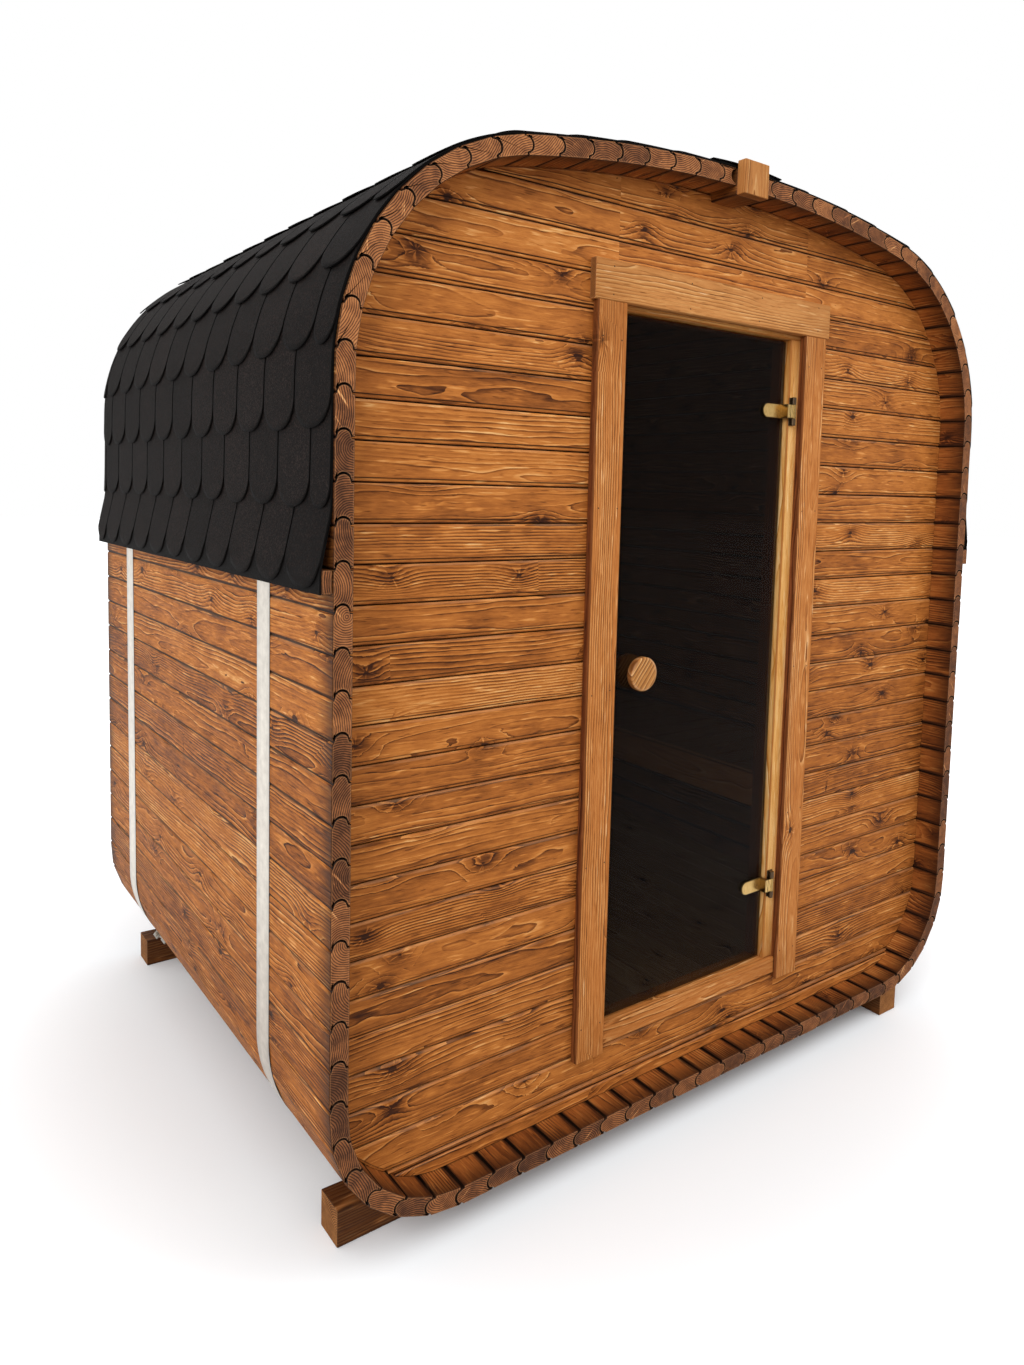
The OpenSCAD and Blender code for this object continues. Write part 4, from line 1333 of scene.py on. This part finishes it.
def buildBands():
    loop = bandHalf(-1)[::-1] + bandHalf(1)[1:]
    thick, turn = bands["thick"], radians(180 + bands["rearTurn"])
    rearOut = Vector((cos(turn), 0, sin(turn)))
    frontSpot = Vector((bands["frontIn"] - flatX, 0, baseZ - thick / 2))
    rearSpot = Vector((-flatX, 0, lowZ)) + rearOut * (lowRadius + thick / 2)
    for name, spot, out, way in (("front", frontSpot, Vector((0, 0, -1)), Vector((1, 0, 0))),
                                 ("rear", rearSpot, rearOut, Vector((sin(turn), 0, -cos(turn))))):
        low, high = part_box("steel_band_" + name)
        maker = Timber(320)
        maker.start((0, low.y, 0), (0, 0, 1), (0, 1, 0))
        sweepStrip(maker, loop, low.y, high.y, thick)
        addBolt(maker, spot + Vector((0, (low.y + high.y) / 2, 0)), out, way, high.y - low.y)
        maker.piece("band_" + name, ["steel"], "band_steel", ["steel_band_" + name])
    print("bands done")


buildBands()


knob = dict(
    thick=0.02,             # thickness of the disc
    neckLong=0.012,
    neckRadius=0.0115,
    bevel=0.0035,
    grainLean=0.62,         # share of the grain's direction that runs across the cabin
    heart=(3.1, 0.085, 0.03))       # the knobs' place in their trunk


def buildKnobs():
    neck, bevel = knob["neckLong"], knob["bevel"]
    face = neck + knob["thick"]
    lean, rise = knob["grainLean"], 0.78
    for name, way in (("outside", -1), ("inside", 1)):
        low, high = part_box("door_knob_" + name)
        radius = (high.x - low.x) / 2
        base = Vector(((low.x + high.x) / 2, high.y if way == -1 else low.y, (low.z + high.z) / 2))
        maker = Timber(330)
        maker.start(base, (lean, 0, rise), (-rise, 0, lean), 0.6)
        maker.shift = Vector(knob["heart"])
        # the disc's rear edge and side get painted shade and its front rim a painted highlight
        profile = [(0.0002, knob["neckRadius"], 0), (neck, knob["neckRadius"], 0),
                   (neck, radius - bevel * 1.6, 0.6), (neck + bevel * 0.5, radius - bevel * 0.3, 0.8),
                   (neck + bevel * 1.2, radius, 0.9), (face - bevel * 1.1, radius, 0.9),
                   (face - bevel * 0.45, radius - bevel * 0.35, -0.6),
                   (face - bevel * 0.1, radius - bevel * 1.1, -0.9), (face, radius - bevel * 1.9, -0.3),
                   (face, radius * 0.7, 0), (face, radius * 0.35, 0), (face, 0, 0)]
        turned(maker, base, (0, way, 0), profile, 0, 72)
        smoothByAngle(maker.piece("knob_" + name, ["knob"], "knob_wood", ["door_knob_" + name], "door"), 40)


def smoothByAngle(piece, limit):
    # faces that meet at less than the limit are shaded as one
    shape = bmesh.new()
    shape.from_mesh(piece.data)
    for face in shape.faces:
        face.smooth = True
    for edge in shape.edges:
        edge.smooth = len(edge.link_faces) == 2 and edge.calc_face_angle(0) < radians(limit)
    shape.to_mesh(piece.data)
    shape.free()


def extruded(maker, outline, low, high, bevel):
    # a flat shape in x and z with bevelled rims, between two places in y
    rim, core = inset(outline, bevel), inset(outline, bevel * 2.4)
    layers = [(low, core, 0.0), (low, rim, 0.8), (low + bevel, outline, 0.8), (high - bevel, outline, 0.8),
              (high, rim, 0.8), (high, core, 0.0)]
    maker.skin([[maker.point((x, y, z), wearAndShading) for x, z in shape] for y, shape, wearAndShading in layers])


def roundedBox(x0, x1, z0, z1, radii, steps):
    # corner radii in the order low left, low right, high right, high left
    outline = []
    corners = [(x0, z0, 180), (x1, z0, 270), (x1, z1, 0), (x0, z1, 90)]
    for (x, z, start), radius in zip(corners, radii):
        cx = x + radius if x == x0 else x - radius
        cz = z + radius if z == z0 else z - radius
        for i in range(steps + 1):
            angle = radians(start + 90 * i / steps)
            outline.append((cx + radius * cos(angle), cz + radius * sin(angle)))
    return outline


def roundedBlock(maker, xs, ys, zs, radii, bevel, steps=2):
    extruded(maker, roundedBox(*xs, *zs, radii, steps), *ys, bevel)


def buildGlass():
    low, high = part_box("door_glass")
    maker = Timber(340)
    maker.start((0, low.y, 0), (0, 0, 1), (1, 0, 0))
    roundedBlock(maker, (low.x, high.x), (low.y, high.y), (low.z, high.z), [0.003] * 4, 0.0012, 4)
    maker.piece("pane_door", ["glass"], "tinted_glass", ["door_glass"], "door")


hinge = dict(
    plate=0.006,            # thickness of the plate in front of the glass
    rear=0.004,             # and of the one behind it
    plateIn=0.0035,         # how far the front plate ends inside the glass
    rearIn=0.02,
    armHalf=0.0045,         # half the thickness of the arm to the barrel
    stepIn=0.011,           # how far the arm's thick part reaches over the plate
    screwIn=0.021,          # place of the screw's dimple
    barrel=0.007,           # radius of the barrel
    knuckle=0.019,          # height of a knuckle
    tieHalf=0.0035,         # half the width of what holds a knuckle
    gap=0.0005,             # between barrel and knuckle
    leaf=0.0025,            # thickness of the leaf on the wall
    leafFrom=0.295,         # where that leaf starts, across the cabin
    clear=0.0002)           # between the plates and the glass


pinX, pinY = frame["joints"][0]["pos_m"][:2]


def startHinge(maker, name):
    low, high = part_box("hinge_clamp_" + name)
    maker.start(low, (0, 0, 1), (1, 0, 0))
    return low, high


def buildClamps():
    glassLow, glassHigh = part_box("door_glass")
    thick, clear, plateX = hinge["armHalf"], hinge["clear"], glassHigh.x - hinge["plateIn"]
    for name in ("upper", "lower"):
        maker = Timber(350)
        low, high = startHinge(maker, name)
        half = (high.z - low.z) / 2
        curve = half - clear
        roundedBlock(maker, (low.x, plateX), (glassLow.y - hinge["plate"], glassLow.y - clear),
                     (low.z, high.z), [curve, 0.0012, 0.0012, curve], 0.0011, 14)
        roundedBlock(maker, (low.x, glassHigh.x - hinge["rearIn"]),
                     (glassHigh.y + clear, glassHigh.y + hinge["rear"]), (low.z, high.z),
                     [curve, 0.002, 0.002, curve], 0.0009, 14)
        # the arm bends forward from the plate to the barrel
        roundedBlock(maker, (plateX - 0.001, pinX + 0.001), (pinY - thick, pinY + thick),
                     (low.z + 0.0006, high.z - 0.0006), [0.0008] * 4, 0.0008)
        roundedBlock(maker, (plateX - hinge["stepIn"], plateX + 0.002), (pinY - thick, glassLow.y - 0.0004),
                     (low.z + 0.0004, high.z - 0.0004), [0.0008] * 4, 0.0009)
        turned(maker, (pinX, pinY, low.z), (0, 0, 1), rod(2 * half, hinge["barrel"], 0.0008, 0.9, 0.8, 0.5))
        dimple = [(0, 0.002, 0.9), (0.0003, 0.0017, 1.0), (0.0005, 0.0006, 1.0), (0.0006, 0, 1.0)]
        screw = (plateX - hinge["screwIn"], glassLow.y - hinge["plate"], (low.z + high.z) / 2)
        turned(maker, screw, (0, -1, 0), dimple, 1, 24)
        piece = maker.piece("hinge_" + name, ["brass", "bronze"], "hinge_brass", ["hinge_clamp_" + name],
                            "door")
        smoothByAngle(piece, 35)


def buildKnuckles():
    maker = Timber(360)
    long, tie, leafHigh = hinge["knuckle"], hinge["tieHalf"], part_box("hinge_knuckles")[1].x
    for name in ("upper", "lower"):
        low, high = startHinge(maker, name)
        middle = (low.z + high.z) / 2
        reach = (high.z - low.z) / 2 + hinge["gap"] + long
        for start in (middle - reach, middle + reach - long):
            turned(maker, (pinX, pinY, start), (0, 0, 1), rod(long, hinge["barrel"], 0.001, 0.88, 0.8, 0.4))
            roundedBlock(maker, (pinX - tie, pinX + tie), (pinY, wallFront),
                         (start + 0.0005, start + long - 0.0005), [0.0006] * 4, 0.0005)
        roundedBlock(maker, (hinge["leafFrom"], leafHigh), (wallFront - hinge["leaf"], wallFront),
                     (middle - reach, middle + reach), [0.002] * 4, 0.0006, 4)
    smoothByAngle(maker.piece("knuckles_hinges", ["bronze"], "hinge_black", ["hinge_knuckles"]), 35)


buildKnobs()
buildGlass()
buildClamps()
buildKnuckles()
print("door, knobs and hinges done")


view = dict(
    place=(-1.8734, -2.5338, 1.6426),
    yaw=-0.6382,
    pitch=-0.0846,
    roll=0.0253,
    lens=25.38,
    shift=(-0.0131, -0.0821))


def buildCamera():
    yaw, pitch, roll = view["yaw"], view["pitch"], view["roll"]
    ahead = Vector((-sin(yaw) * cos(pitch), cos(yaw) * cos(pitch), sin(pitch)))
    right = Vector((cos(yaw), sin(yaw), 0))
    up = right.cross(ahead)
    turn = Matrix((right * cos(roll) + up * sin(roll), up * cos(roll) - right * sin(roll), -ahead))
    camera = bpy.data.objects.new("camera", bpy.data.cameras.new("camera"))
    camera.data.lens = view["lens"]
    camera.data.shift_x, camera.data.shift_y = view["shift"]
    camera.matrix_world = Matrix.Translation(view["place"]) @ turn.transposed().to_4x4()
    bpy.context.scene.collection.objects.link(camera)
    bpy.context.scene.camera = camera


ground = dict(
    reach=40,               # half the floor's width
    bounce="#938d88",       # what the timber sees of the floor
    shown="#fbfdff",        # and what the camera and the glass see
    glow="#b0b0b0",
    glowFrom=1.12,          # radius around the cabin where the floor starts to glow
    glowTo=2.5)


def buildStage():
    mesh = bpy.data.meshes.new("floor")
    reach = ground["reach"]
    mesh.from_pydata([(-reach, -reach, 0), (reach, -reach, 0), (reach, reach, 0), (-reach, reach, 0)], [],
                     [(0, 1, 2, 3)])
    floor = bpy.data.objects.new("floor", mesh)
    bpy.context.scene.collection.objects.link(floor)
    mat = Finish("paleFloor")
    path = mat.add("LightPath", out="Is Camera Ray")
    seen = path + mat.also(path, "Is Glossy Ray") + mat.also(path, "Is Transmission Ray")
    apart = mat.length(mat.add("NewGeometry", out="Position"))
    glow = mat.mix(mat.soft(apart, ground["glowFrom"], ground["glowTo"]), "#000000", ground["glow"])
    mesh.materials.append(mat.surface(
        Base_Color=mat.mix(seen, ground["bounce"], ground["shown"]), Roughness=0.9, Specular_IOR_Level=0.0,
        Emission_Color=mat.mix(seen, "#000000", glow), Emission_Strength=1.0))


lamps = dict(
    key=dict(place=(-5.0, -3.6, 4.2), size=3.5, power=170),
    fill=dict(place=(2.4, -3.6, 4.6), size=3.0, power=60))
lampAim = (0, 0, 1.1)


def buildLights():
    world = bpy.data.worlds.new("studio")
    bpy.context.scene.world = world
    world.use_nodes = True
    tree = world.node_tree
    tree.nodes.clear()
    background = tree.nodes.new("ShaderNodeBackground")
    background.inputs[0].default_value = (1, 1, 1, 1)
    background.inputs[1].default_value = 1.0
    out = tree.nodes.new("ShaderNodeOutputWorld")
    tree.links.new(background.outputs[0], out.inputs[0])
    for name, values in lamps.items():
        lamp = bpy.data.lights.new(name, "AREA")
        lamp.size = values["size"]
        lamp.energy = values["power"]
        holder = bpy.data.objects.new(name, lamp)
        bpy.context.scene.collection.objects.link(holder)
        holder.location = values["place"]
        holder.visible_glossy = name == "key"
        aim = Vector(lampAim) - Vector(values["place"])
        holder.rotation_euler = aim.to_track_quat("-Z", "Y").to_euler()
    bpy.context.scene.view_settings.view_transform = "Standard"


buildCamera()
buildStage()
buildLights()
